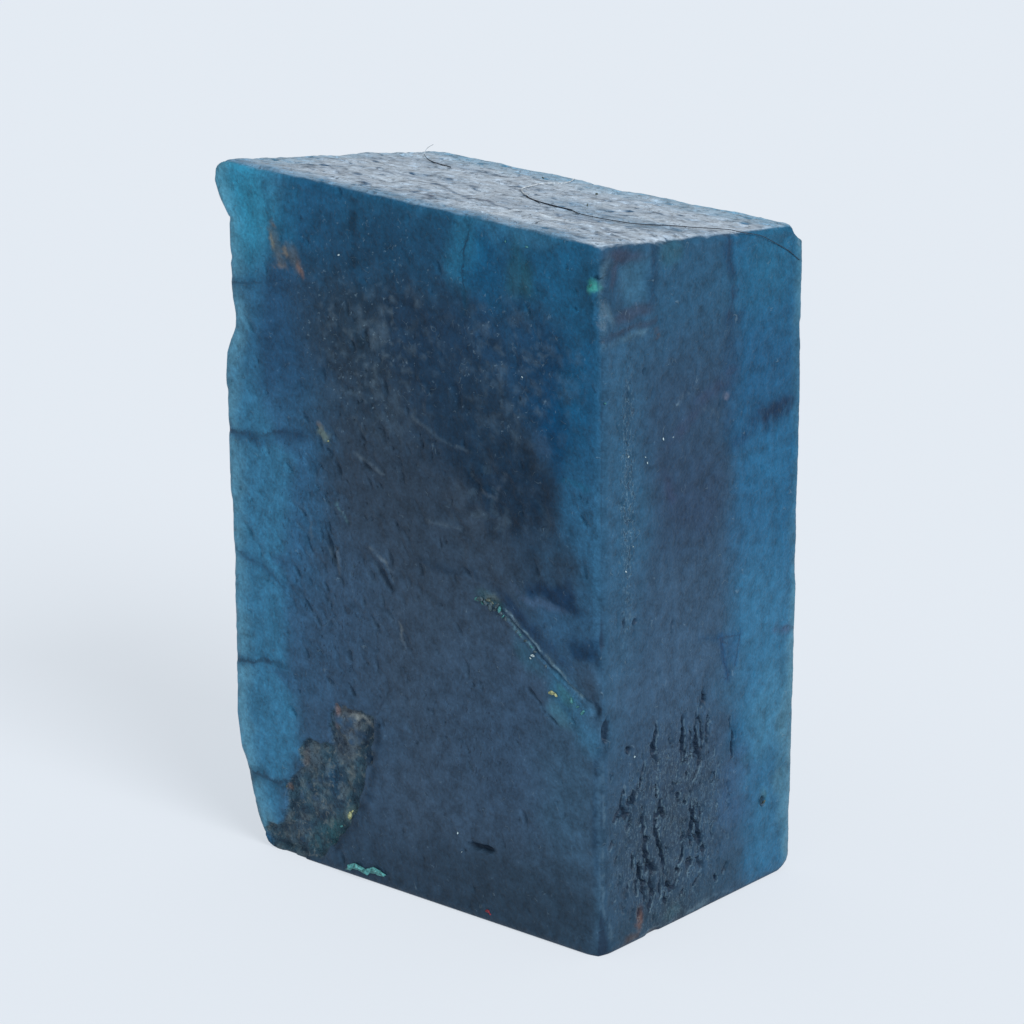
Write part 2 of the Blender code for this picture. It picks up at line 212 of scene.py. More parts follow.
# Slots and pits of the narrow face: y, z, half length, half width, depth, lean.
RIGHT_PITS = (
    (-8.05, 12.6, 0.8, 0.11, 0.22, 6), (-6.25, 11.05, 0.26, 0.19, 0.36, 0),
    (-4.0, 11.0, 0.85, 0.15, 0.42, 8), (-4.25, 10.5, 0.45, 0.13, 0.36, 0),
    (-1.62, 10.4, 1.15, 0.16, 0.46, 2), (-0.9, 10.1, 0.85, 0.09, 0.34, -4),
    (-0.5, 10.05, 1.1, 0.11, 0.38, 4), (0.02, 10.3, 1.0, 0.1, 0.36, -5),
    (0.55, 10.55, 0.7, 0.11, 0.34, 3), (-0.1, 9.0, 0.55, 0.15, 0.36, 10), (0.2, 12.3, 0.5, 0.12, 0.34, 0),
    (-0.45, 11.6, 0.4, 0.08, 0.22, 12), (2.85, 8.9, 0.75, 0.15, 0.4, -3), (2.6, 10.2, 0.35, 0.1, 0.22, 4),
    (-5.15, 9.25, 0.75, 0.11, 0.3, 16), (-5.6, 8.35, 0.5, 0.1, 0.28, 10),
    (-6.8, 8.45, 0.6, 0.15, 0.34, 20), (-7.25, 7.6, 0.34, 0.14, 0.3, 30),
    (1.25, 7.5, 0.26, 0.12, 0.24, 25), (-1.95, 7.15, 0.28, 0.15, 0.3, 0),
    (-0.45, 8.05, 0.34, 0.16, 0.32, 24), (-1.3, 6.9, 0.26, 0.13, 0.26, 40),
    (-3.85, 6.1, 0.95, 0.11, 0.38, -4), (-3.45, 4.7, 0.85, 0.11, 0.38, -16),
    (-3.15, 3.6, 0.55, 0.11, 0.34, 0), (-4.95, 6.3, 0.85, 0.12, 0.34, -10),
    (-4.65, 5.3, 0.55, 0.11, 0.3, 4), (-0.65, 5.7, 0.9, 0.14, 0.4, 13),
    (-1.05, 4.85, 0.34, 0.14, 0.32, 20), (0.05, 4.25, 0.36, 0.2, 0.36, 8),
    (0.35, 3.6, 0.28, 0.17, 0.32, -20), (-1.55, 3.95, 0.55, 0.12, 0.32, 18),
    (-2.05, 3.15, 0.34, 0.11, 0.26, 30), (-5.85, 4.6, 0.5, 0.13, 0.32, 4),
    (-5.25, 4.05, 0.55, 0.13, 0.32, -12), (-4.65, 4.2, 0.45, 0.12, 0.3, 8),
    (-5.55, 3.1, 0.4, 0.15, 0.3, -6), (-4.4, 3.15, 0.32, 0.14, 0.3, 10),
    (-0.35, 1.9, 0.26, 0.19, 0.32, 30), (1.45, 1.5, 0.26, 0.14, 0.28, 0),
    (2.15, 1.85, 0.26, 0.12, 0.26, 24), (-6.2, 6.9, 0.4, 0.11, 0.22, 14),
    (5.72, 4.75, 0.3, 0.2, 0.26, 10), (-3.8, 14.6, 0.5, 0.06, 0.1, -22),
    (-2.6, 17.0, 0.32, 0.09, 0.14, 6), (-5.7, 17.9, 0.24, 0.14, 0.2, 0), (-7.6, 6.2, 0.24, 0.1, 0.22, 20),
    (-7.2, 5.2, 0.2, 0.1, 0.2, 10), (-6.9, 4.1, 0.26, 0.1, 0.22, 0), (-6.3, 3.4, 0.2, 0.1, 0.22, 0),
    (-7.3, 3.0, 0.16, 0.09, 0.18, 0), (-6.6, 2.2, 0.22, 0.1, 0.2, 14), (-5.9, 1.9, 0.2, 0.1, 0.2, 0),
    (-7.75, 9.9, 0.3, 0.09, 0.16, 6), (-6.6, 18.1, 0.16, 0.12, 0.18, 0),
    (-6.35, 30.3, 0.3, 0.08, 0.12, 0), (-5.2, 31.2, 0.24, 0.08, 0.1, 4), (-4.4, 29.9, 0.3, 0.07, 0.1, 0),
)
# Cracks of the narrow face: half width, strength, then the points y, z of the route.
RIGHT_CRACKS = (
    (0.09, 0.45, (1.75, 37.2), (1.85, 35.9), (2.35, 35.0), (2.3, 33.8), (2.05, 32.9)),
    (0.08, 0.6, (1.57, 15.2), (1.95, 14.0), (2.45, 12.8)),
    (0.07, 0.5, (3.5, 15.0), (3.3, 14.4), (2.9, 13.4)),
    (0.06, 0.45, (-0.2, 15.6), (1.6, 15.2), (3.5, 15.0)),
    (0.08, 0.45, (8.5, 13.95), (7.7, 14.3), (6.6, 14.5)),
    (0.07, 0.35, (-3.4, 8.05), (-0.95, 7.35), (1.7, 7.45)),
    (0.07, 0.35, (-7.85, 19.15), (-5.4, 18.8), (-3.7, 18.7)),
)
# Slots and dents of the broad face: x, z, half length, half width, depth, lean.
FRONT_PITS = (
    (-5.7, 19.9, 0.45, 0.1, 0.1, -14), (-5.35, 18.95, 1.1, 0.24, 0.2, -23),
    (-4.7, 17.4, 0.5, 0.14, 0.12, -16), (-1.55, 18.15, 1.1, 0.22, 0.2, -42),
    (-0.95, 17.65, 0.45, 0.15, 0.17, -26), (-7.1, 15.3, 0.6, 0.14, 0.13, -40),
    (-6.4, 14.6, 0.5, 0.15, 0.14, -26), (-5.7, 16.6, 0.4, 0.14, 0.12, -28),
    (-5.55, 21.6, 0.6, 0.12, 0.1, -34), (-4.1, 20.8, 0.5, 0.12, 0.1, -24),
    (-7.4, 20.6, 0.5, 0.12, 0.1, -60), (-7.0, 19.0, 0.6, 0.12, 0.1, -26),
    (-2.6, 24.2, 0.7, 0.14, 0.12, -62), (-5.3, 24.4, 0.4, 0.14, 0.12, -60),
    (5.5, 4.2, 0.24, 1.05, 0.36, -3), (0.3, 14.9, 0.5, 0.09, 0.08, -30), (9.4, 13.6, 0.7, 0.1, 0.1, -48),
    (10.6, 12.6, 0.5, 0.11, 0.12, -55), (5.6, 13.4, 0.36, 0.15, 0.12, -20),
    (4.1, 16.2, 0.4, 0.12, 0.1, -30), (4.6, 9.6, 0.36, 0.11, 0.1, -30), (2.1, 11.2, 0.18, 0.14, 0.1, 0),
    (-1.9, 15.2, 0.16, 0.16, 0.12, 0), (-0.3, 24.6, 0.2, 0.4, 0.1, 10), (3.9, 29.0, 0.9, 0.3, 0.12, -15),
    (5.2, 24.7, 0.7, 0.26, 0.12, -40), (-3.9, 32.6, 0.5, 0.16, 0.1, -10),
    (-2.6, 31.2, 0.6, 0.14, 0.1, 12),
)
# Cracks of the broad face, with points x, z.
FRONT_CRACKS = (
    (0.16, 0.55, (-13.3, 24.3), (-12.4, 24.2), (-10.5, 24.4), (-8.6, 25.1), (-6.9, 25.0)),
    (0.1, 0.4, (-13.3, 17.9), (-12.3, 17.4), (-10.7, 17.0), (-9.0, 15.9)),
    (0.13, 0.55, (-13.3, 10.9), (-12.4, 10.9), (-10.5, 11.4), (-9.1, 11.4)),
    (0.14, 0.55, (-12.4, 4.0), (-11.2, 4.2), (-9.6, 4.2), (-8.3, 4.9)),
    (0.1, 0.4, (-13.1, 32.4), (-12.2, 32.7), (-10.4, 33.0)),
    (0.07, 0.6, (4.95, 38.3), (4.5, 36.7), (4.55, 33.4)),
    (0.08, 0.3, (4.55, 33.4), (4.3, 30.5), (3.9, 27.6)),
    (0.06, 0.5, (-1.95, 10.0), (-1.2, 11.3), (-1.25, 12.4)),
)
# Low curled ridges and fine scratches of the broad face: depth, half width, then the route.
FRONT_LINES = (
    (-0.08, 0.12, (-5.0, 19.3), (-4.75, 18.5), (-4.65, 17.5)),
    (-0.08, 0.13, (-2.5, 19.6), (-1.35, 18.75), (-0.8, 17.9)),
    (-0.06, 0.12, (-4.9, 21.4), (-4.35, 21.2), (-4.05, 20.8)),
    (-0.055, 0.14, (2.0, 21.75), (3.15, 21.6), (4.15, 21.75)),
    (-0.055, 0.17, (0.3, 27.4), (1.7, 27.05), (2.5, 26.5), (3.6, 26.2), (4.9, 26.2)),
    (-0.055, 0.16, (-3.6, 24.5), (-2.45, 24.3), (-1.4, 23.9)),
    (-0.045, 0.15, (-5.2, 26.2), (-4.1, 26.65), (-3.0, 26.6)),
    (0.06, 0.12, (-8.4, 21.1), (-7.5, 20.7), (-6.9, 19.9)),
    (0.05, 0.1, (-0.65, 15.95), (-0.25, 15.15), (0.15, 14.75), (0.35, 14.35)),
    (-0.06, 0.09, (-4.5, 33.9), (-4.4, 33.5), (-4.65, 33.1)),
    (0.06, 0.08, (7.85, 31.85), (8.1, 31.3), (8.3, 30.85)), (0.05, 0.07, (8.85, 15.2), (9.9, 14.85)),
    (0.04, 0.07, (-7.7, 36.1), (-6.4, 36.3), (-5.3, 36.2)),
    (-0.05, 0.15, (1.3, 29.6), (2.0, 28.7), (1.8, 27.8)),
    (-0.045, 0.14, (4.9, 25.3), (5.6, 24.4), (6.6, 24.1)),
    (-0.045, 0.14, (7.2, 25.6), (8.0, 25.1), (8.1, 24.2)),
    (0.05, 0.14, (3.0, 23.1), (4.2, 22.6), (5.3, 22.8)),
    (-0.045, 0.13, (-2.2, 21.8), (-1.4, 21.2), (-1.2, 20.3)),
    (0.05, 0.12, (-3.4, 28.9), (-3.1, 27.9), (-3.3, 27.0)),
    (0.045, 0.12, (0.9, 24.9), (1.8, 24.2), (3.0, 24.3)),
)
CRACK_DEPTH = 0.05
FAR_OFF = 6.0               # half widths from a crack at which nothing shows of it
# Areas of the broad face: centre, half length and half width, lean.
TORN_MIDDLE = ((-3.5, 19.0), (12.0, 7.0), 8)
POCKED = ((6.8, 22.8), (5.0, 4.5), 30)
SCAB = ((6.2, 18.1), (0.42, 0.95), 72)          # at the upper end of the fissure
CHUNK = ((-4.0, 8.6), (0.95, 1.1), 10)          # stands up in the crusted hollow
# The fissure: its route on the broad face; the upper side stands lower.
FISSURE = ((5.9, 18.35), (6.6, 18.1), (7.3, 17.6), (8.8, 16.7), (9.7, 15.9), (11.1, 15.0), (12.9, 14.15))
FISSURE_START = (6.6, 7.6)
FISSURE_GROOVE = 0.12
FISSURE_LIP = 0.06
FISSURE_SHELF = 0.07
# The crusted hollow at the foot of the broad face: its outline, x and z.
CRUST = (
    (-5.65, 9.8), (-5.05, 10.3), (-4.1, 9.95), (-2.3, 9.75), (-2.3, 8.5), (-2.65, 7.2), (-3.05, 5.8),
    (-3.7, 3.9), (-4.95, 2.1), (-6.4, 0.6), (-8.0, -1.0), (-12.0, -1.0), (-11.4, 1.2), (-9.4, 1.9),
    (-9.05, 4.3), (-7.9, 5.6), (-8.25, 6.4), (-8.05, 7.1), (-7.2, 7.45), (-6.4, 7.2), (-5.75, 7.6),
)
CRUST_DEPTH = 0.26
# Torn ground of the narrow face, and the knots where its slots lie thickest: y, z, half sizes.
RIGHT_LOW = ((-2.9, 5.6), (6.6, 6.4), 0)
RIGHT_KNOTS = (
    (0.0, 10.3, 0.9, 2.0), (-5.2, 4.6, 1.0, 2.6), (-0.6, 5.6, 0.9, 2.6), (-3.7, 4.8, 0.9, 3.0),
    (-3.4, 2.0, 2.2, 1.2), (-6.6, 7.6, 0.9, 1.4),
)
# The scoop at the top of the narrow face: y, z, half sizes; then its ledge.
SCOOP = (-6.55, 35.7, 2.25, 2.0)
SCOOP_DEPTH = 0.30
LEDGE = ((-8.6, 33.4), (-6.7, 33.35), (-4.0, 33.45))
# Scattered pits of each side: spacing, share of spots that have one where they lie thick and
# elsewhere, half length and half width, depth, lean and how far that varies, seed.
FRONT_DIMPLES = (
    (1.0, 0.26, 0.05, (0.36, 0.13), 0.10, (-30, 24), 4),
    (0.6, 0.30, 0.08, (0.11, 0.08), 0.07, (-20, 60), 9),
)
RIGHT_DIMPLES = ((0.5, 0.50, 0.01, (0.15, 0.05), 0.07, (0, 20), 44),)
TOP_DIMPLES = (
    (0.7, 0.0, 0.42, (0.20, 0.13), 0.12, (80, 40), 68),
    (1.5, 0.0, 0.40, (0.50, 0.16), 0.14, (70, 30), 73),
)
LEFT_DIMPLES = ((1.2, 0.0, 0.20, (0.34, 0.20), 0.10, (90, 40), 88),)
BACK_DIMPLES = (
    (1.2, 0.40, 0.04, (0.50, 0.15), 0.22, (4, 16), 106),
    (0.9, 0.25, 0.05, (0.22, 0.12), 0.12, (0, 30), 111),
)
LEFT_CRACKS = (31.6, 24.3, 17.3, 10.7, 4.1)     # heights of the cracks round the left side
LEFT_CRACK_DEPTH = 0.16
# Wear along the edges, and the foot of the corner between the sawn faces, worn round.
STONE_CENTRE = (0.3, 0.0, 0.0)
EDGE_REACH = 0.7
CORNER_REACH = 1.5
WORN_DEPTH = 0.30
WORN_WAY = (-0.7, 0.7, 0.0)


class Skin:
    """The points of the stone's surface in millimetres, sorted by the side they belong to."""

    SIDES = ("front", "right", "top", "left", "back", "base")
    INWARD = {"front": (0, 1, 0), "right": (-1, 0, 0), "top": (0, 0, -1),
              "left": (1, 0, 0), "back": (0, -1, 0)}
    FOOT = (0.05, 0.5)          # heights over which the relief begins, so the base stays flat
    MIDDLE = (0.35, 0.9)        # how far from its edges the middle of a side begins
    EVEN_DEPTH = 1.2            # what lies deeper isn't brought back to the plane

    def __init__(self, mesh):
        self.mesh = mesh
        flat = np.empty(len(mesh.vertices) * 3, dtype=np.float32)
        mesh.vertices.foreach_get("co", flat)
        self.points = flat.reshape(-1, 3).astype(float) / MM
        self.measure()

    def measure(self):
        """Find how deep each point lies inside the plane of every side."""
        x, y, z = self.points.T
        heights, reaches = np.array(LEFT_REACH).T
        lean = BACK_LEAN * (RIGHT_X - x) / WIDTH * z / HEIGHT
        gaps = np.array([
            y - FRONT_Y, right_reach(z) - x, top_height(x, y) - z,
            x - np.interp(z, heights, reaches), BACK_Y - lean - y, z])
        order = np.sort(gaps, axis=0)
        self.gaps = dict(zip(self.SIDES, gaps))
        self.nearest = gaps.argmin(axis=0)
        self.rim = order[1] - np.minimum(order[0], 0.0)

    def side(self, name):
        """The points of one side: which they are, where, and their two places on it."""
        chosen = np.flatnonzero(self.nearest == self.SIDES.index(name))
        points = self.points[chosen]
        x, y, z = points.T
        across = {"front": (x, z), "back": (x, z), "right": (y, z), "left": (y, z), "top": (x, y)}
        return chosen, points, across[name]

    def even_out(self, name):
        """Bring the middle of a sawn side back to its plane, clear of the edges."""
        chosen, _, _ = self.side(name)
        gap = self.gaps[name][chosen]
        middle = rise(self.rim[chosen], *self.MIDDLE) * (gap < self.EVEN_DEPTH)
        self.points[chosen] -= np.array(self.INWARD[name]) * (gap * middle)[:, None]

    def sink(self, name, chosen, amount, rim=(0.02, 0.35)):
        """Move the chosen points of a side into the stone."""
        fade = rise(self.rim[chosen], *rim) * rise(self.points[chosen, 2], *self.FOOT)
        self.points[chosen] += np.array(self.INWARD[name]) * (amount * fade)[:, None]

    def write(self):
        self.mesh.vertices.foreach_set("co", (self.points * MM).astype(np.float32).ravel())
        self.mesh.update()


def stray(place, points, size, distance, seed):
    """Places on a side, moved a little so that what is worked there gets an uneven outline."""
    return tuple(part + waves(points.T, size, seed + turn, 2) * distance
                 for turn, part in enumerate(place))


def lie_along(place, centre, cosine, sine):
    """Places seen from a centre: along a direction that leans from the upright, and across it."""
    first = place[0] - centre[0]
    second = place[1] - centre[1]
    return second * cosine + first * sine, first * cosine - second * sine


def ellipse(place, centre, half, lean):
    """How far out each place lies of an ellipse: 0 at its centre and 1 on its outline."""
    angle = math.radians(lean)
    along, across = lie_along(place, centre, math.cos(angle), math.sin(angle))
    return np.hypot(along / half[0], across / half[1])


def area(place, form, inner, outer):
    """1 inside an ellipse and 0 outside it."""
    return fall(ellipse(place, *form), inner, outer)


def patch(place, centre, half, lean=0.0, soft=0.5):
    """1 inside an ellipse turned anticlockwise and 0 outside, over an edge of some softness."""
    return area(place, (centre, half[::-1], -lean), 1.0 - soft, 1.0 + soft)


def oval(place, first, second, half_1, half_2):
    """How far out each place lies of an upright ellipse."""
    return np.hypot((place[0] - first) / half_1, (place[1] - second) / half_2)


def pits(place, rows, wall=(0.45, 1.2)):
    """Depth of a list of elongated pits at each place."""
    depth = np.zeros(len(place[0]))
    for first, second, half_length, half_width, deep, lean in rows:
        form = ((first, second), (half_length, half_width), lean)
        depth = np.maximum(depth, deep * area(place, form, *wall))
    return depth


def route(place, points):
    """Distance from a line of straight runs, and on which side of it each place lies."""
    nearest = np.full(len(place[0]), np.inf)
    signed = np.zeros(len(place[0]))
    for start, end in zip(points, points[1:]):
        run = np.subtract(end, start)
        length = np.hypot(*run)
        first = place[0] - start[0]
        second = place[1] - start[1]
        share = np.clip((first * run[0] + second * run[1]) / length ** 2, 0.0, 1.0)
        away = np.hypot(first - share * run[0], second - share * run[1])
        across = (run[0] * second - run[1] * first) / length
        closer = away < nearest
        nearest = np.where(closer, away, nearest)
        signed = np.where(closer, across, signed)
    return nearest, np.where(signed < 0.0, -nearest, nearest)


def before_end(place, points, reach):
    """1 along a line of straight runs, 0 at a reach beyond either end of it."""
    beyond = np.zeros(len(place[0]))
    for end, before in ((points[0], points[1]), (points[-1], points[-2])):
        run = np.subtract(end, before)
        along = (place[0] - end[0]) * run[0] + (place[1] - end[1]) * run[1]
        near = np.hypot(place[0] - end[0], place[1] - end[1]) < 1.0
        beyond = np.maximum(beyond, along / np.hypot(*run) * near)
    return fall(beyond, 0.0, reach)


def cracks(place, rows):
    """How many half widths each place lies from its nearest crack, and how strong that is."""
    nearest = np.full(len(place[0]), FAR_OFF)
    shares = np.zeros(len(place[0]))
    for half_width, strength, *points in rows:
        _, signed = route(place, points)
        widths = signed / half_width
        closer = np.abs(widths) < np.abs(nearest)
        nearest = np.where(closer, widths, nearest)
        ending = before_end(place, points, 1.5 * half_width)
        shares = np.where(closer, strength * ending, shares)
    return nearest, shares


def crack_depth(place, rows):
    """Depth of the hair-fine openings along the cracks."""
    widths, shares = cracks(place, rows)
    return CRACK_DEPTH * shares * fall(np.abs(widths), 0.1, 1.0)


def lines(place, rows):
    """Depth of a list of fine scratches; ridges where it is negative."""
    depth = np.zeros(len(place[0]))
    for deep, half_width, *points in rows:
        away, _ = route(place, points)
        ending = before_end(place, points, 1.5 * half_width)
        depth += deep * ending * fall(away / half_width, 0.2, 1.4)
    return depth


def dimples(place, cell, chance, half, deep, lean, seed):
    """Depth of small scattered pits; chance may differ from place to place."""
    depth = np.zeros(len(place[0]))
    home = [np.floor(part / cell).astype(np.int64) for part in place]
    for step in itertools.product((-1, 0, 1), repeat=2):
        cells = (home[0] + step[0], home[1] + step[1], np.zeros_like(home[0]))
        draws = [(lattice_value(cells, SEED + seed + turn) + 1.0) / 2.0 for turn in range(5)]
        centre = ((cells[0] + draws[0]) * cell, (cells[1] + draws[1]) * cell)
        angle = np.radians(lean[0] + lean[1] * (2.0 * draws[4] - 1.0))
        along, across = lie_along(place, centre, np.cos(angle), np.sin(angle))
        size = 0.5 + draws[3]
        out = np.hypot(along / (half[0] * size), across / (half[1] * size))
        here = deep * size * fall(out, 0.3, 1.2) * (draws[2] < chance)
        depth = np.maximum(depth, here)
    return depth


def dimpled(depth, place, rows, thick=0.0):
    """Add scattered pits to a depth; they lie thickest where thick is 1."""
    for cell, more, least, half, deep, lean, seed in rows:
        depth = depth + dimples(place, cell, more * thick + least, half, deep, lean, seed)
    return depth


def inside(place, outline):
    """Distance of each place into a closed outline; negative outside."""
    loop = outline + outline[:1]
    away, _ = route(place, loop)
    odd = np.zeros(len(place[0]), dtype=bool)
    for start, end in zip(loop, loop[1:]):
        crosses = (start[1] > place[1]) != (end[1] > place[1])
        rise_over = (end[1] - start[1]) or 1e-9
        at = start[0] + (place[1] - start[1]) * (end[0] - start[0]) / rise_over
        odd ^= crosses & (place[0] < at)
    return np.where(odd, away, -away)


def fissure(place, flat_place, points):
    """Depth of the diagonal fissure, with its ragged lips and the lower ground above it."""
    away, signed = route(place, FISSURE)
    along = rise(flat_place[0], *FISSURE_START)
    off_core = np.abs(signed - 0.02)
    near = away < 0.5
    groove = FISSURE_GROOVE * along * fall(off_core, 0.02, 0.13) * near
    broken = 0.3 + 0.7 * rise(waves(points.T, 0.7, 19, 2), -0.5, 0.5)
    lip_highlight = FISSURE_LIP * broken * along * fall(np.abs(off_core - 0.16), 0.02, 0.10) * near
    lip_highlight += area(place, SCAB, 0.6, 1.1) * (0.06 + 0.10 * waves(points.T, 0.35, 18, 2))
    shelf = FISSURE_SHELF * fall(signed, 0.1, 1.8) * (signed > 0) * (away < 1.9)
    return np.maximum(groove, shelf) - lip_highlight


def crusted_hollow(place, flat_place, points):
    """Depth of the broken hollow at the foot, with a chunk left standing in it."""
    into = inside(flat_place, CRUST) + 0.30 * waves(points.T, 0.9, 16, 3)
    lumps = 0.12 * waves(points.T, 1.3, 20, 3) + 0.08 * waves(points.T, 0.5, 24, 2)
    chunk = area(place, CHUNK, 0.75, 1.05)
    return (CRUST_DEPTH + lumps) * (1.0 - 0.42 * chunk) * rise(into, 0.0, 0.16)


def work_front(skin):
    """The broad sawn face: slots, fissure, crusted hollow, fine dents."""
    skin.even_out("front")
    chosen, points, flat_place = skin.side("front")
    place = stray(flat_place, points, 0.4, 0.06, 0)
    depth = 0.03 * waves(points.T, 3.0, 2, 2)
    depth += pits(place, FRONT_PITS)
    depth = np.maximum(depth, crack_depth(place, FRONT_CRACKS))
    depth += lines(place, FRONT_LINES)
    middle = area(flat_place, TORN_MIDDLE, 0.5, 1.2)
    depth = dimpled(depth, place, FRONT_DIMPLES, middle)
    turned = (0.82 * place[0] + 0.57 * place[1], 0.82 * place[1] - 0.57 * place[0])
    torn = waves((turned[0], turned[1], points[:, 1]), (0.28, 1.0, 1.0), 12, 2)
    depth += 0.06 * rise(torn, 0.25, 0.9) * (0.25 + 0.75 * middle)
    pocked = area(flat_place, POCKED, 0.4, 1.1)
    depth += 0.20 * pocked * np.maximum(waves(points.T, 1.0, 14, 3), 0.0)
    depth += fissure(place, flat_place, points)
    depth += crusted_hollow(place, flat_place, points)
    skin.sink("front", chosen, depth)


def work_right(skin):
    """The narrow sawn face: many slots low down, a scoop at the top, fine upright dashes."""
    skin.even_out("right")
    chosen, points, flat_place = skin.side("right")
    place = stray(flat_place, points, 0.3, 0.13, 30)
    depth = 0.025 * waves(points.T, 3.0, 32, 2)
    depth += pits(place, RIGHT_PITS, wall=(0.6, 1.45))
    depth = np.maximum(depth, crack_depth(place, RIGHT_CRACKS))

    low = area(flat_place, RIGHT_LOW, 0.4, 1.15)
    thick = np.zeros(len(chosen))
    for knot in RIGHT_KNOTS:
        thick = np.maximum(thick, fall(oval(flat_place, *knot), 0.3, 1.25))
    torn = waves((place[0], place[1], points[:, 0]), (0.27, 0.75, 1.0), 34, 2)
    torn += 0.5 * waves(points.T, 0.25, 37, 2)
    limit = 0.93 - 0.36 * low - 0.56 * thick
    depth += 0.36 * rise(torn - limit, 0.0, 0.40) * np.clip(low + thick, 0.0, 1.0)

    strip = fall(np.abs(flat_place[0] + 6.3), 0.5, 1.5)
    strip *= rise(flat_place[1], 13.0, 17.0) * fall(flat_place[1], 31.0, 34.0)
    depth = dimpled(depth, place, RIGHT_DIMPLES, strip)
    out = oval(flat_place, *SCOOP) + 0.14 * waves(points.T, 1.2, 48, 2)
    depth += fall(out, 0.45, 1.05) * (SCOOP_DEPTH + 0.12 * waves(points.T, 0.7, 50, 3))
    ledge, signed = route(place, LEDGE)
    depth += 0.06 * fall(np.abs(signed - 0.10), 0.05, 0.22) * (ledge < 0.5)
    skin.sink("right", chosen, depth)


def work_top(skin):
    """The sawn top: torn, with specks and low ridges."""
    chosen, points, place = skin.side("top")
    depth = 0.07 * waves(points.T, (2.4, 1.5, 3.0), 60, 3)
    depth += 0.05 * np.abs(waves(points.T, (1.1, 0.6, 3.0), 64, 3))
    depth = dimpled(depth, place, TOP_DIMPLES)
    skin.sink("top", chosen, depth, rim=(0.05, 0.5))


def work_left(skin):
    """The broken left side: natural skin with steps, cracks and small hollows."""
    chosen, points, place = skin.side("left")
    steps = waves(points.T, (2.0, 3.4, 1.6), 80, 2)
    depth = 0.16 * rise(steps, -0.2, 0.2) + 0.05 * waves(points.T, 1.2, 84)
    depth = dimpled(depth, place, LEFT_DIMPLES)
    sway = 0.5 * waves(points.T, 2.6, 92, 2)
    for level in LEFT_CRACKS:
        depth += LEFT_CRACK_DEPTH * fall(np.abs(place[1] + sway - level), 0.05, 0.22)
    skin.sink("left", chosen, depth, rim=(0.0, 0.6))


def work_back(skin):
    """The back: sawn, with a few slots and dents of its own."""
    chosen, points, place = skin.side("back")
    depth = 0.04 * waves(points.T, 2.4, 100)
    patchy = rise(waves(points.T, 6.0, 104, 2), -0.1, 0.5)
    depth = dimpled(depth, place, BACK_DIMPLES, patchy)
    skin.sink("back", chosen, depth)


def wear_edges(skin):
    """Small nicks along every edge but those of the base, and one corner worn round."""
    skin.measure()
    near = np.flatnonzero((skin.rim < EDGE_REACH) & (skin.gaps["base"] > EDGE_REACH))
    points = skin.points[near]
    height = points[:, 2]
    outward = points - np.array(STONE_CENTRE)
    outward[:, 2] = height - HEIGHT / 2
    outward[:, 2] *= (np.abs(outward[:, 2]) > HEIGHT / 2 - CORNER_REACH)
    outward /= np.linalg.norm(outward, axis=1)[:, None]
    nick = np.maximum(waves(points.T, 0.7, 120, 2), 0.0) * 0.07
    nick += np.maximum(waves(points.T, 2.2, 124, 2) - 0.3, 0.0) * 0.16
    by_right = skin.gaps["right"][near] < CORNER_REACH
    far_edge = (skin.gaps["back"][near] < CORNER_REACH) & by_right
    nick -= far_edge * (0.05 + 0.10 * (rise(height, 8.0, 18.0) * fall(height, 24.0, 33.0)))
    scooped = (skin.gaps["front"][near] < CORNER_REACH) & by_right
    nick += scooped * 0.32 * fall(np.abs(height - 35.8), 1.0, 2.3)
    skin.points[near] -= outward * (nick * fall(skin.rim[near], 0.1, EDGE_REACH))[:, None]

    corner = skin.gaps["front"] + skin.gaps["right"]
    worn = WORN_DEPTH * fall(corner, 0.0, 1.3) * fall(skin.points[:, 2], 0.4, 3.2)
    skin.points += worn[:, None] * np.array(WORN_WAY)


def roughen(skin):
    """A very fine unevenness of the sawn faces, which also keeps their mesh dense."""
    for name, height in (("front", 0.007), ("right", 0.009)):
        chosen, _, _ = skin.side(name)
        none = np.zeros_like(chosen)
        skin.sink(name, chosen, height * lattice_value((chosen, none, none), SEED + 130))


def make_stone():
    """The stone itself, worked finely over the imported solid."""
    stone = put("stone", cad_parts[NODE].data.copy())
    even = stone.modifiers.new("even mesh", "REMESH")
    even.mode = "VOXEL"
    even.voxel_size = VOXEL * MM
    apply_modifiers(stone)
    skin = Skin(stone.data)
    for work in (work_front, work_right, work_top, work_left, work_back, wear_edges, roughen):
        work(skin)
    skin.write()
    stone.data.calc_loop_triangles()
    fewer = stone.modifiers.new("fewer faces", "DECIMATE")
    fewer.ratio = TRIANGLES / len(stone.data.loop_triangles)
    apply_modifiers(stone)
    shade_smooth(stone.data)
    Paint(Skin(stone.data)).finish()
    return stone


# --------------------------------------------------------------------- material helpers
class Value:
    """One value in a material; arithmetic on it adds the nodes."""

    def __init__(self, material, socket):
        self.material = material
        self.socket = socket

    def math(self, operation, *others):
        inputs = dict(enumerate((self, *others)))
        return self.material.add("Math", {"operation": operation}, inputs)

    __add__ = __radd__ = partialmethod(math, "ADD")
    __mul__ = __rmul__ = partialmethod(math, "MULTIPLY")
    __sub__ = partialmethod(math, "SUBTRACT")
    __abs__ = partialmethod(math, "ABSOLUTE")
    least = partialmethod(math, "MINIMUM")
    most = partialmethod(math, "MAXIMUM")

    def __rsub__(self, other):
        return self.material.add("Math", {"operation": "SUBTRACT"}, {0: other, 1: self})

    def rise(self, start, end):
        """Go smoothly from 0 at start to 1 at end; start may be the larger."""
        return self.material.add("MapRange", {"interpolation_type": "SMOOTHSTEP"},
                                 {"Value": self, "From Min": start, "From Max": end})


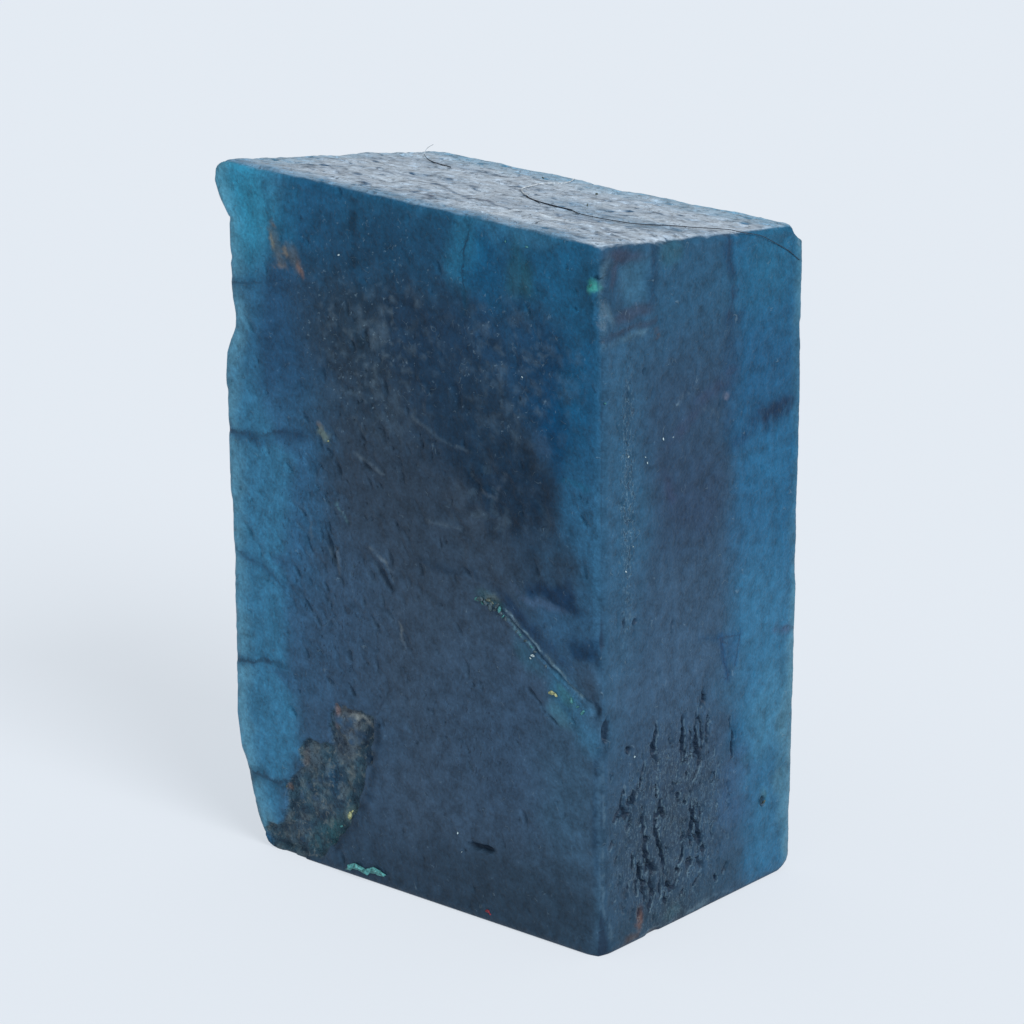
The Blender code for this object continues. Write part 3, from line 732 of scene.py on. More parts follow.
class Material:
    """A material whose nodes are added one by one or by arithmetic."""

    def __init__(self, name):
        self.data = bpy.data.materials.new(name)
        self.data.use_nodes = True
        self.tree = self.data.node_tree
        self.shader = self.tree.nodes["Principled BSDF"]

    def set(self, inputs):
        for name, value in inputs.items():
            self.feed(self.shader.inputs[name], value)

    def feed(self, socket, value):
        if isinstance(value, Value):
            self.tree.links.new(value.socket, socket)
        else:
            socket.default_value = value

    def add(self, kind, settings=None, inputs=None, output=0):
        """Add a node: its settings first, then the values or links of its sockets."""
        node = self.tree.nodes.new("ShaderNode" + kind)
        for name, value in (settings or {}).items():
            setattr(node, name, value)
        for name, value in (inputs or {}).items():
            self.feed(node.inputs[name], value)
        return Value(self, node.outputs[output])

    def place(self):
        """The place of each point on the stone, in millimetres."""
        return self.scale(self.add("TexCoord", output=3), 1.0 / MM)

    def scale(self, vector, factor):
        """A place or a colour multiplied by one number."""
        return self.add("VectorMath", {"operation": "SCALE"}, {0: vector, "Scale": factor})

    def tint(self, share, colour, shade):
        """Lay a plain shade over a colour by a share."""
        settings = {"data_type": "RGBA"}
        return self.add("Mix", settings, {0: share, 6: colour, 7: (*look(shade), 1.0)}, 2)

    def noise(self, place, size, detail=2.0, rough=0.5, output=0):
        """Soft noise around 0.5 whose waves have a size in millimetres."""
        return self.add("TexNoise", {}, {"Vector": place, "Scale": 1.0 / size, "Detail": detail,
                                         "Roughness": rough}, output)

    def spots(self, place, crowding):
        """Distance from the nearest of scattered spots; crowding says how thick they lie."""
        return self.add("TexVoronoi", {}, {"Vector": place, "Scale": crowding})

    def stretch(self, place, sizes, turn=(0, 0, 0)):
        """A place turned by degrees about each axis and divided by sizes, for streaks."""
        return self.add("Mapping", {"vector_type": "TEXTURE"}, {
            "Vector": place, "Rotation": [math.radians(angle) for angle in turn],
            "Scale": sizes})

    def attribute(self, name, output=2):
        """What the points of the mesh carry under a name: a number, or with output 0 a colour."""
        return self.add("Attribute", {"attribute_name": name}, {}, output)


# ----------------------------------------------------------------------- stone's colours
# Every colour is given as it looks on the stone, from 0 to 255 in the usual screen scale.
def look(screen):
    """The linear values of a colour."""
    parts = [channel / 255.0 for channel in screen]
    return np.array([part / 12.92 if part < 0.04045 else ((part + 0.055) / 1.055) ** 2.4
                     for part in parts])


SLATE = (49, 64, 81)
SLATE_LOW = (55, 73, 93)
VIOLET = (53, 78, 104)
NAVY = (31, 54, 84)
DEEP_NAVY = (28, 46, 70)
# a near-black blue for painted shade in slots, pits, pinholes and the crust's holes, and for the cores of
# cracks
SHADE_AND_CRACK_DARK = (24, 38, 56)
BLUE = (42, 86, 124)
TEAL = (54, 106, 139)
PLUM = (54, 72, 96)
RUST = (98, 82, 74)
RUST_BRIGHT = (132, 102, 84)
MOSS = (50, 74, 84)
TAN = (104, 100, 98)
RIM_HIGHLIGHT = (128, 156, 170)

# How brightly each side is lit, and what its dull skin throws back whatever its colour.
SIDE_LIGHT = {
    "front": ((0.840, 0.873, 0.910), 0.0100), "right": ((1.405, 1.440, 1.475), 0.0155),
    "top": ((0.845, 0.850, 0.850), 0.0900), "left": ((0.620, 0.650, 0.700), 0.0100),
    "back": ((0.620, 0.650, 0.700), 0.0100),
}
DARKEST = 0.0012
FIRM_EDGE_SOFTNESS = 0.45

# Zones of the broad face: x, z, half sizes, lean, softness, strength, colour.
FRONT_ZONES = (
    (-6.3, 12.0, 4.2, 8.5, 10, 0.8, 0.85, VIOLET),
    (7.5, 10.5, 4.5, 5.0, 0, 0.8, 0.75, (54, 76, 100)),
    (12.2, 8.0, 2.4, 5.5, 0, 0.8, 0.75, (55, 83, 107)),
    (11.8, 17.6, 2.8, 2.6, 0, 0.8, 0.75, (47, 82, 112)),
    (12.0, 13.2, 2.0, 1.3, -35, 0.6, 0.8, (52, 96, 125)),
    (13.2, 12.8, 0.9, 1.5, 0, 0.6, 0.6, (60, 102, 134)),
    (13.0, 23.5, 2.2, 4.2, 0, 0.7, 0.9, (48, 90, 122)),
    (12.0, 30.5, 2.6, 4.8, 0, 0.7, 0.95, (32, 80, 115)),
    (9.9, 30.6, 1.5, 4.0, 8, 0.7, 0.85, (25, 59, 91)),
    (7.0, 32.0, 3.2, 3.2, 0, 0.8, 0.85, (36, 65, 94)),
    (2.6, 30.5, 2.8, 4.5, 8, 0.8, 0.85, (35, 57, 81)),
    (5.3, 26.8, 3.8, 2.4, -15, 0.7, 0.85, (34, 53, 73)),
    (8.4, 24.6, 2.8, 2.0, -35, 0.6, 0.85, (33, 50, 69)),
    (10.9, 27.8, 0.9, 1.6, 0, 0.6, 0.7, (24, 63, 96)),
    (9.6, 27.6, 0.9, 0.7, -12, 0.5, 0.7, (48, 72, 98)),
    (9.5, 21.2, 2.2, 1.5, -30, 0.7, 0.6, (45, 65, 86)),
    (5.4, 22.7, 1.8, 1.0, -20, 0.6, 0.45, (56, 70, 86)),
    (10.9, 19.2, 1.3, 0.6, -36, 0.45, 0.85, (30, 49, 74)),
    (12.9, 16.5, 0.9, 0.6, 0, 0.5, 0.75, (30, 52, 78)),
    (9.6, 18.9, 1.5, 0.26, -21, 0.5, 0.5, (70, 92, 122)),
    (8.2, 17.7, 1.8, 0.4, -24, 0.5, 0.6, (36, 58, 84)),
    (8.6, 15.3, 1.3, 0.8, -38, 0.6, 0.5, (50, 90, 112)),
    (2.2, 2.0, 6.5, 1.6, 0, 0.8, 0.6, (45, 60, 77)),
    (9.0, 1.6, 4.5, 2.6, 0, 0.8, 0.7, (44, 60, 76)),
    (0.6, 22.0, 1.6, 6.0, 0, 0.8, 0.5, (49, 63, 79)),
)
# The band under the top edge, in the same way; its blues are painted light that comes through the thin top
# edge.
BAND_ZONES = (
    (-6.6, 37.0, 2.6, 1.9, 0, 0.7, 0.75, (38, 83, 117)),
    (-1.5, 35.8, 3.4, 1.7, 0, 0.8, 0.75, (35, 67, 94)),
    (4.4, 36.9, 1.3, 1.9, 0, 0.6, 0.8, (42, 98, 130)),
    (6.3, 36.0, 1.3, 1.9, 0, 0.7, 0.65, (29, 82, 119)),
    (10.9, 36.0, 2.8, 2.2, 0, 0.7, 0.8, (35, 83, 116)),
    (7.0, 38.3, 4.4, 0.8, -4, 0.6, 0.65, (52, 98, 128)),
    (8.6, 36.4, 0.9, 1.3, 0, 0.6, 0.4, (40, 80, 92)),
    (-8.6, 36.9, 1.2, 2.0, 0, 0.6, 0.6, (41, 96, 130)),
)
# Soft bands of the broad face: half width, strength, colour, then the points of the route.
FRONT_BANDS = (
    # painted highlights (the pale bands) and painted shade (the dark bands) on the walls of grooves and low
    # ridges
    (0.11, 0.5, (84, 98, 112), (-5.0, 19.3), (-4.75, 18.5), (-4.65, 17.5)),
    (0.11, 0.55, (88, 102, 114), (-2.5, 19.6), (-1.35, 18.75), (-0.8, 17.9)),
    (0.15, 0.5, (35, 48, 64), (-5.75, 19.9), (-5.4, 18.95), (-4.95, 18.0)),
    (0.15, 0.55, (33, 46, 62), (-2.3, 18.9), (-1.6, 18.15), (-0.85, 17.4)),
    (0.12, 0.4, (36, 52, 70), (-8.3, 16.5), (-7.4, 16.0), (-6.4, 15.4)),
    (0.1, 0.28, (80, 96, 110), (0.6, 27.4), (2.3, 26.75), (3.5, 26.35), (4.9, 26.3)),
    (0.11, 0.45, (84, 100, 114), (-3.6, 24.5), (-2.45, 24.35), (-1.35, 23.95)),
    (0.1, 0.35, (80, 96, 110), (2.0, 21.75), (3.15, 21.6), (4.15, 21.75)),
    (0.08, 0.45, (80, 116, 128), (-4.9, 21.45), (-4.35, 21.2), (-4.05, 20.8)),
    (0.07, 0.5, (110, 124, 134), (-0.2, 16.2), (-0.1, 15.2), (0.25, 14.4)),
    (0.08, 0.35, (86, 102, 116), (-7.9, 21.2), (-6.9, 20.3), (-6.75, 19.2)),
    (0.1, 0.3, (80, 96, 112), (5.0, 25.2), (5.7, 24.4), (6.7, 24.1), (7.4, 25.5)),
    # painted shade: dark halos where the cracks by the left edge cut the light painted through it
    (0.42, 0.6, (38, 66, 94), (-13.3, 24.3), (-12.4, 24.0), (-10.5, 24.2), (-8.6, 24.9), (-6.9, 24.9)),
    (0.3, 0.5, (42, 76, 106), (-13.3, 17.9), (-12.3, 17.4), (-10.7, 17.0), (-9.0, 15.9)),
    (0.42, 0.65, (38, 70, 96), (-13.3, 10.9), (-12.4, 10.9), (-10.5, 11.4), (-9.1, 11.4)),
    (0.42, 0.6, (40, 68, 90), (-12.4, 4.0), (-11.2, 4.2), (-9.6, 4.2), (-8.3, 4.9)),
    (0.42, 0.55, (34, 68, 94), (-13.1, 32.4), (-12.2, 32.7), (-10.4, 33.0)),
    (0.3, 0.6, (30, 50, 68), (-3.45, 38.4), (-3.25, 37.1), (-3.1, 35.3)),
    (0.4, 0.3, (30, 50, 68), (-3.1, 35.3), (-3.3, 33.0), (-3.0, 30.0)),
    (0.24, 0.4, (34, 64, 90), (-9.9, 38.6), (-9.6, 36.4), (-9.9, 34.0)),
    (0.16, 0.4, (28, 70, 96), (4.95, 38.3), (4.5, 36.7), (4.55, 33.4)),
    (0.22, 0.5, (34, 50, 68), (1.3, 19.5), (4.8, 19.4), (7.3, 18.6)),
    (0.16, 0.55, (36, 84, 112), (11.2, 25.8), (13.0, 25.5)),
    # painted shadow along the ledge at the right edge of the crusted hollow
    (0.3, 0.75, (34, 48, 64), (-1.95, 9.4), (-2.1, 7.1), (-2.65, 5.2), (-3.95, 3.0), (-5.2, 1.5)),
    (0.5, 0.45, (34, 56, 84), (7.0, 18.5), (8.0, 17.9), (9.2, 17.2), (10.4, 16.4), (11.6, 15.7)),
    # painted highlights along the fissure's lips
    (0.07, 0.5, (112, 140, 156), (7.2, 17.85), (8.8, 16.88), (9.7, 16.1), (11.1, 15.2), (12.7, 14.3)),
    (0.05, 0.4, (96, 132, 146), (7.2, 17.5), (8.3, 16.85), (9.2, 16.2)),
    (0.16, 0.45, (30, 48, 70), (13.5, 14.5), (13.55, 12.0), (13.5, 9.0), (13.55, 6.0), (13.5, 4.0)),
)
# Where the pale edge and the blue beside it, painted light through the thin left edge, end on the broad
# face: height, x.
PALE_EDGE = (
    (0.0, -10.2), (2.0, -9.9), (4.0, -9.5), (4.8, -8.9), (6.6, -8.2), (8.9, -8.0), (10.2, -8.3),
    (10.9, -10.2), (11.2, -9.1), (17.4, -8.9), (17.9, -9.8), (18.4, -8.8), (21.1, -8.4), (23.8, -8.2),
    (24.6, -9.4), (27.6, -10.6), (32.1, -10.4), (35.8, -9.7), (38.7, -8.4), (40.0, -8.2),
)
BLUE_EDGE = (
    (0.0, -9.6), (2.0, -9.4), (4.8, -8.7), (6.6, -7.6), (10.2, -7.7), (12.4, -8.2), (15.5, -7.4),
    (18.1, -6.2), (20.6, -5.2), (22.9, -4.8), (24.5, -5.6), (25.8, -6.1), (28.3, -6.3), (30.9, -7.2),
    (35.8, -7.0), (40.0, -7.0),
)
# Stains of the broad face: x, z, half sizes, lean, strength, colour; then the marks of the crust, some of
# them painted highlight and shade.
FRONT_STAINS = (
    (-9.2, 35.4, 0.36, 1.0, 18, 0.6, (78, 90, 98)), (-8.8, 34.6, 0.4, 0.55, 10, 0.6, (74, 84, 94)),
    (-7.75, 34.8, 0.46, 0.8, 26, 0.6, (80, 86, 92)), (-7.35, 34.3, 0.16, 0.45, 30, 0.45, RUST_BRIGHT),
    (-9.0, 34.15, 0.5, 0.12, 0, 0.5, TAN), (-9.45, 36.5, 0.16, 0.14, 0, 0.7, TAN),
    (-8.3, 35.1, 0.1, 0.5, 16, 0.6, (124, 112, 92)), (-9.55, 35.6, 0.1, 0.6, 14, 0.55, (112, 108, 92)),
    (-5.7, 25.2, 0.5, 0.28, -35, 0.65, (96, 112, 106)), (-6.0, 25.6, 0.24, 0.14, -35, 0.6, TAN),
    (6.1, 18.15, 0.95, 0.34, -14, 0.6, (60, 92, 104)), (6.25, 18.25, 0.45, 0.2, 0, 0.5, (78, 84, 84)),
    # (12.9, 36.2) is painted shade over the worn hollow at the top right corner
    (8.8, 35.8, 0.4, 0.9, 0, 0.4, (40, 70, 78)), (12.9, 36.2, 0.95, 1.35, -32, 0.75, (34, 66, 90)),
    (12.9, 36.15, 0.18, 0.3, 0, 0.7, (60, 136, 128)), (13.65, 35.2, 0.26, 1.8, 4, 0.45, (96, 128, 146)),
    (11.0, 12.9, 0.9, 0.45, -40, 0.35, (70, 108, 122)), (11.6, 14.0, 0.7, 0.34, -30, 0.4, (60, 112, 120)),
)
CRUST_MARKS = (
    # the pale rims on the chunk's upper and left edges are painted highlights; the dark patches to its
    # right and by the ledge are painted shade
    (-4.5, 8.9, 1.0, 1.0, -10, 0.9, (76, 84, 92)), (-5.25, 9.2, 0.16, 0.8, 0, 0.8, (124, 112, 116)),
    (-3.4, 9.4, 0.8, 0.14, 0, 0.8, (130, 140, 142)), (-3.2, 8.1, 0.6, 0.5, 0, 0.8, (34, 48, 62)),
    (-4.7, 7.3, 0.9, 0.9, 0, 0.65, (72, 84, 96)), (-2.8, 7.0, 0.35, 0.6, 0, 0.7, DEEP_NAVY),
    (-7.2, 6.3, 0.7, 0.9, -20, 0.6, (76, 90, 102)), (-7.7, 6.2, 0.25, 0.5, 0, 0.45, TAN),
    (-5.6, 5.3, 0.8, 1.1, 0, 0.75, (42, 68, 92)), (-4.3, 5.7, 0.22, 0.8, 0, 0.5, (82, 90, 92)),
    (-4.4, 3.5, 0.6, 0.4, 40, 0.7, (78, 104, 110)), (-5.6, 2.3, 0.9, 0.7, 40, 0.6, (44, 84, 92)),
    (-4.9, 2.4, 0.5, 0.5, 40, 0.6, (30, 54, 68)), (-6.6, 1.4, 1.2, 0.8, 20, 0.55, (48, 80, 92)),
    (-9.0, 4.1, 0.3, 0.2, 0, 0.6, RUST), (-9.8, 0.9, 1.8, 0.9, -10, 0.6, (54, 72, 84)),
)
# Zones of the narrow face: y, z, half sizes, lean, softness, strength, colour.
RIGHT_ZONES = (
    (-7.3, 25.5, 1.8, 8.5, 0, 0.8, 0.85, (57, 95, 125)),
    (-7.3, 14.0, 1.8, 4.0, 0, 0.8, 0.7, (61, 94, 122)),
    (-7.6, 5.0, 1.4, 5.0, 0, 0.7, 0.6, (58, 82, 104)),
    (-1.5, 35.2, 5.0, 3.6, 0, 0.7, 0.85, (52, 90, 120)),
    (-1.8, 28.5, 3.6, 3.4, 0, 0.8, 0.8, (54, 77, 102)),
    (-1.4, 23.4, 2.8, 2.8, 0, 0.8, 0.85, PLUM),
    (-1.5, 18.3, 4.5, 2.6, 0, 0.8, 0.8, (62, 86, 111)),
    (-2.5, 14.0, 4.6, 2.4, 0, 0.8, 0.75, (66, 91, 117)),
    (-2.0, 9.8, 4.8, 2.4, 0, 0.8, 0.75, (60, 80, 103)),
    (-3.2, 4.8, 3.8, 4.2, 0, 0.7, 0.85, (56, 74, 93)),
    (1.2, 5.5, 1.6, 3.4, 0, 0.7, 0.7, (59, 84, 109)),
    (-3.0, 0.6, 5.5, 1.2, 5, 0.7, 0.65, (51, 69, 84)),
)
# Zones of the strip on the narrow face where light through the thin back edge is painted as paler blue, in
# the same way.
EDGE_ZONES = (
    (4.2, 20.5, 1.5, 6.0, 0, 0.8, 0.6, (51, 93, 129)),
    (5.8, 35.6, 3.2, 2.6, 0, 0.8, 0.7, (48, 101, 133)),
    (5.0, 29.0, 2.8, 2.6, 0, 0.8, 0.65, (45, 85, 120)),
    (6.0, 24.0, 2.6, 2.0, 0, 0.7, 0.65, (50, 103, 141)),
    (5.8, 14.5, 2.8, 5.0, 0, 0.8, 0.85, (61, 112, 147)),
    (6.2, 9.2, 2.2, 2.4, 0, 0.8, 0.7, (70, 120, 150)),
    (6.4, 3.4, 2.8, 3.2, 0, 0.8, 0.7, (62, 110, 143)),
    (3.3, 6.5, 1.3, 2.2, 0, 0.7, 0.6, (62, 92, 126)),
    (7.9, 6.5, 1.0, 6.2, 0, 0.6, 0.6, (84, 128, 150)),
)
# Soft bands of the narrow face: half width, strength, colour, then the points of the route.
RIGHT_BANDS = (
    (0.45, 0.6, (42, 64, 90), (1.6, 37.2), (1.8, 35.7), (2.4, 35.0), (2.35, 33.8), (2.0, 32.9),
     (3.2, 32.6)),
    (0.8, 0.4, (45, 68, 95), (2.1, 33.0), (2.25, 31.0), (2.2, 28.3), (2.1, 25.6)),
    (0.56, 0.95, (42, 58, 80), (4.9, 27.15), (6.2, 27.05), (7.8, 27.05)),
    (0.75, 0.4, (38, 64, 94), (4.6, 27.0), (5.6, 26.8), (7.0, 26.9)),
    (0.45, 0.55, (42, 68, 98), (4.6, 26.8), (3.7, 26.15), (2.8, 25.85)),
    (0.45, 0.3, (62, 66, 92), (2.6, 29.6), (-0.4, 28.8), (-2.1, 27.5), (-3.8, 26.2), (-2.7, 23.9)),
    (0.24, 0.55, (36, 72, 112), (1.6, 15.3), (1.95, 14.0), (2.45, 12.8)),
    (0.2, 0.45, (42, 78, 116), (3.5, 15.1), (3.35, 14.4), (2.9, 13.4)),
    (0.16, 0.45, (48, 84, 118), (-0.2, 15.6), (1.6, 15.3), (3.5, 15.1)),
    (0.26, 0.55, (72, 84, 112), (8.6, 13.9), (7.6, 14.2), (6.6, 14.5)),
    (0.24, 0.35, (46, 90, 120), (8.7, 5.9), (7.4, 6.6), (6.3, 6.1), (5.0, 5.7)),
    (0.24, 0.35, (50, 96, 126), (7.3, 13.4), (7.2, 11.9), (6.7, 10.6)),
    (0.22, 0.55, (58, 66, 84), (-8.9, 33.2), (-6.7, 33.45), (-4.1, 33.6)),
    (0.16, 0.35, (98, 130, 150), (-8.9, 32.8), (-6.7, 33.05), (-5.1, 33.15)),
    (0.2, 0.35, (48, 66, 88), (-3.4, 8.1), (-1.0, 7.4), (1.7, 7.5)),
    (0.4, 0.35, (44, 78, 108), (6.0, 32.6), (7.6, 32.3)),
)
# Where that strip begins: height, y.
STRIP_EDGE = (
    (0.0, 6.0), (2.3, 4.4), (6.5, 4.0), (9.2, 2.6), (11.3, 3.6), (13.4, 4.3), (14.9, 2.9), (16.9, 3.6),
    (21.4, 3.7), (23.8, 3.0), (25.7, 1.6), (26.7, 2.2), (29.4, 2.4), (32.0, 2.8), (35.0, 2.4),
    (37.2, 1.8), (40.0, 1.6),
)
# Stains of the narrow face, as those of the broad one.
RIGHT_STAINS = (
    (-7.2, 35.8, 1.5, 2.1, 0, 0.35, (50, 74, 98)), (-4.35, 35.9, 0.36, 1.7, -6, 0.55, (42, 66, 92)),
    (-5.6, 35.9, 1.0, 1.3, 0, 0.75, (66, 106, 134)), (-6.6, 37.3, 1.4, 0.34, -14, 0.55, (62, 62, 80)),
    (-6.0, 34.2, 1.5, 0.36, 6, 0.55, (66, 68, 84)), (-7.2, 36.5, 0.3, 0.9, 0, 0.5, (58, 64, 84)),
    (-8.25, 35.6, 0.26, 1.8, -6, 0.55, (98, 130, 150)), (-7.8, 34.6, 0.3, 0.7, 0, 0.4, (92, 122, 142)),
    (-5.2, 1.2, 0.24, 0.8, -4, 0.6, (112, 84, 72)), (-5.9, 0.3, 0.6, 0.26, 0, 0.45, RUST),
    (-4.1, 33.0, 0.22, 0.24, 0, 0.55, RUST), (1.95, 28.6, 0.24, 0.15, 0, 0.6, (110, 116, 136)),
    (-2.9, 37.0, 0.9, 0.8, 0, 0.35, (60, 104, 116)), (5.7, 4.8, 0.3, 0.42, 0, 0.5, (76, 116, 128)),
    (-2.4, 0.7, 0.7, 0.4, 0, 0.25, (76, 112, 124)), (2.6, 14.4, 0.7, 0.7, 0, 0.35, (42, 82, 122)),
    (-1.7, 29.2, 0.9, 0.1, 20, 0.4, (88, 112, 134)), (0.4, 28.1, 0.8, 0.1, -20, 0.3, (88, 112, 134)),
)
# Fine dark lines, and the pale curve of the top, which is a painted highlight: half width, strength,
# colour, points x, y.
TOP_BANDS = (
    (0.16, 0.7, (68, 80, 98), (-2.2, -5.7), (-1.1, -5.7), (0.1, -5.9)),
    (0.15, 0.65, (72, 86, 104), (-3.8, -2.9), (-2.4, -2.6), (-0.1, -3.65), (1.0, -4.1)),
    (0.17, 0.75, (58, 70, 88), (1.4, -3.9), (3.1, -4.4), (4.35, -4.65)),
    (0.15, 0.6, (78, 92, 110), (4.35, -4.65), (4.5, -3.8), (4.8, -2.9)),
    (0.18, 0.5, (94, 110, 132), (-7.0, -2.5), (-6.3, -1.6), (-4.4, -1.7), (-3.4, -0.7)),
    (0.15, 0.5, (84, 98, 118), (-8.6, -4.7), (-6.2, -5.5), (-4.1, -6.2)),
    # the pale curve, a painted highlight
    (0.32, 0.45, (192, 204, 214), (5.3, -6.9), (4.7, -5.4), (4.7, -4.1), (5.4, -3.9), (7.7, -5.0),
     (8.7, -4.65)),
    (0.6, 0.4, (112, 126, 146), (6.7, -3.5), (7.4, -3.2), (8.8, -3.6)),
    (0.2, 0.45, (104, 120, 142), (9.4, -4.6), (11.0, -4.4), (12.4, -4.9)),
    (1.7, 0.45, (104, 136, 162), (4.2, 0.4), (7.2, -1.6), (10.8, -1.2)),
    (1.1, 0.35, (118, 134, 152), (2.2, -2.4), (4.6, -3.6)),
    (0.8, 0.45, (96, 116, 134), (10.4, -1.4), (12.0, -0.8)),
)


def lay(ground, *coats):
    """Lay coats over a ground of colours, each by every point's share of it."""
    for share, colour in coats:
        colour = look(colour) if isinstance(colour, tuple) else colour
        ground = ground + (colour - ground) * np.clip(share, 0.0, 1.0)[:, None]
    return ground


def lay_zones(ground, place, zones):
    """Lay soft ellipses of colour over a ground."""
    for first, second, half_1, half_2, lean, soft, strength, colour in zones:
        share = strength * patch(place, (first, second), (half_1, half_2), lean, soft)
        ground = lay(ground, (share, colour))
    return ground


def lay_firm_zones(ground, place, stains):
    """Lay stains and painted marks, which are zones with a firmer edge."""
    return lay_zones(ground, place, [(*row[:5], FIRM_EDGE_SOFTNESS, *row[5:]) for row in stains])


def lay_bands(ground, place, bands, uneven=1.0):
    """Lay soft lines of colour over a ground."""
    for half_width, strength, colour, *points in bands:
        away, _ = route(place, points)
        ending = before_end(place, points, 2.0 * half_width)
        share = strength * uneven * ending * fall(away / half_width, 0.1, 1.5)
        ground = lay(ground, (share, colour))
    return ground


class Paint:
    """Colours and marks of the points of the finished stone."""

    def __init__(self, skin):
        self.skin = skin
        self.gaps = skin.gaps
        self.x, self.y, self.z = skin.points.T
        self.clouds = self.noise(4.5, 200, 3)
        self.mottle = self.noise(1.3, 210, 3)
        self.fine = self.noise(0.5, 220, 2)
        self.uneven = 0.35 + 0.85 * rise(self.fine + 0.5 * self.mottle, -0.8, 0.5)
        wide = [self.noise(3.0, 230 + turn, 3) for turn in range(3)]
        near = [self.noise(0.55, 240 + turn, 2) for turn in range(3)]
        strays = list(zip(skin.points.T, wide, near))
        self.bent = [part + 1.1 * w + 0.25 * n for part, w, n in strays]
        x, y, z = [part + 0.22 * w + 0.12 * n for part, w, n in strays]
        self.front_place, self.right_place, self.top_place = (x, z), (y, z), (x, y)

    def noise(self, size, seed, octaves=2):
        return waves(self.skin.points.T, size, seed, octaves)

    def plain(self, colour):
        """One colour all over."""
        return np.tile(look(colour), (len(self.x), 1))

    def cloudy(self, colour, other):
        """Two colours that change with the clouds."""
        return lay(self.plain(colour), (rise(self.clouds, -0.4, 0.4), other))

    def on_front(self, *form):
        return patch((self.x, self.z), *form)

    def on_right(self, *form):
        return patch((self.y, self.z), *form)

    def before(self, edge, place, softness, wobble):
        """1 before an edge given by height and 0 past it."""
        heights, reaches = np.array(edge).T
        over = place - np.interp(self.z + 0.8 * self.clouds, heights, reaches) + wobble
        return fall(over, -softness, softness)

    def front(self):
        """The broad sawn face."""
        x, _, z = self.bent
        gaps = self.gaps
        colour = lay(
            self.plain(SLATE_LOW),
            (rise(z, 15.0, 23.0), SLATE),
            (rise(z, 24.0, 31.0), (42, 59, 76)),
            (fall(z, 0.5, 5.0), (44, 61, 78)))
        colour = lay_zones(colour, (x, z), FRONT_ZONES)

        lumps = self.noise(0.8, 290, 3)
        pocked = self.on_front((7.0, 24.6), (4.4, 3.4), -30, 0.5)
        upper = np.maximum(self.on_front((-2.0, 31.5), (4.6, 5.0), 0, 0.6),
                           0.8 * self.on_front((8.0, 31.5), (4.0, 4.5), 0, 0.6))
        colour = lay(
            colour,
            (pocked * rise(lumps, 0.05, 0.6) * 0.50, (28, 43, 60)),
            (pocked * rise(-lumps, 0.25, 0.9) * 0.35, (56, 71, 88)),
            (upper * rise(self.noise(0.5, 294), 0.15, 0.75) * 0.42, (76, 96, 114)),
            (upper * rise(lumps, 0.1, 0.7) * 0.40, (30, 44, 60)),
            (upper * rise(self.noise(0.32, 297), 0.4, 0.9) * 0.40, (84, 102, 116)))

        # painted light: blue by the thin left edge and under the top edge, where light comes through the
        # stone
        blue = self.before(BLUE_EDGE, self.x, 2.6, 0.9 * self.clouds + 0.5 * self.mottle)
        crisp = self.before(BLUE_EDGE, self.x, 0.5, 0.5 * self.mottle + 0.3 * self.fine + 0.9)
        shade = lay(self.plain((49, 89, 122)), (rise(z, 26.0, 29.0), (42, 77, 109)))
        streaks = waves((self.x + 0.35 * self.z, self.y, self.z), (0.7, 2.0, 5.0), 250, 3)
        depth = gaps["top"] + 1.4 * self.clouds + 1.6 * streaks
        colour = lay(
            colour,
            (0.80 * blue, shade),
            (0.35 * crisp, shade),
            (0.9 * fall(depth, 2.0, 6.0), (36, 70, 98)),
            (0.9 * fall(depth, 0.2, 2.8), (38, 79, 109)))
        colour = lay_zones(colour, (x, z), BAND_ZONES)

        # painted light: teal through the thin left edge, the bright lug at the top left and paler blue by
        # the right edge; a painted highlight along the left outline
        wobble = 0.25 * self.clouds + 0.15 * self.mottle + 0.06 * self.fine
        pale = self.before(PALE_EDGE, self.x, 0.75, wobble)
        pale *= 1.0 - 0.5 * self.on_front((-10.5, 31.5), (2.4, 4.0), 0, 0.7)
        colour = lay(
            colour,
            (0.9 * pale, TEAL),
            (self.on_front((-12.2, 37.2), (2.7, 3.2), 20, 0.5), (50, 120, 152)),
            (0.55 * fall(gaps["left"] + 0.4 * self.mottle, 0.1, 1.9), (92, 140, 162)),
            (0.15 * fall(gaps["right"], 0.1, 0.8), (62, 102, 132)))
        colour = lay_bands(colour, self.front_place, FRONT_BANDS, self.uneven)
        return lay_firm_zones(colour, self.front_place, FRONT_STAINS)

    def crust(self):
        """The broken hollow at the foot of the broad face."""
        colour = lay(self.plain((50, 74, 90)), (rise(self.mottle, -0.2, 0.4), (46, 64, 80)))
        # pale specks, and dark specks that are painted shade of small holes
        return lay(
            lay_firm_zones(colour, self.front_place, CRUST_MARKS),
            (rise(self.fine, 0.2, 0.6) * 0.35, (96, 108, 112)),
            (rise(-self.fine, 0.25, 0.6) * 0.45, SHADE_AND_CRACK_DARK))

    def right(self):
        """The narrow sawn face."""
        _, y, z = self.bent
        colour = lay_zones(self.plain((55, 83, 109)), (y, z), RIGHT_ZONES)
        # painted light: the paler strip and the rim by the thin back edge, where light comes through the
        # stone
        wobble = 0.4 * self.clouds + 0.30 * self.mottle + 0.1 * self.fine
        strip = 1.0 - self.before(STRIP_EDGE, self.y, 1.0, wobble)
        colour = lay(colour, (strip, (47, 95, 131)))
        colour = lay_zones(colour, (y, z), EDGE_ZONES)
        rim = fall(self.gaps["back"] + 0.3 * self.mottle, 0.0, 1.2)
        low = 1.0 - 0.5 * rise(z, 15.0, 20.0) * fall(z, 30.0, 33.0)
        colour = lay(colour, (0.75 * rim * low, (92, 138, 160)))
        colour = lay_bands(colour, self.right_place, RIGHT_BANDS, self.uneven)
        return lay_firm_zones(colour, self.right_place, RIGHT_STAINS)

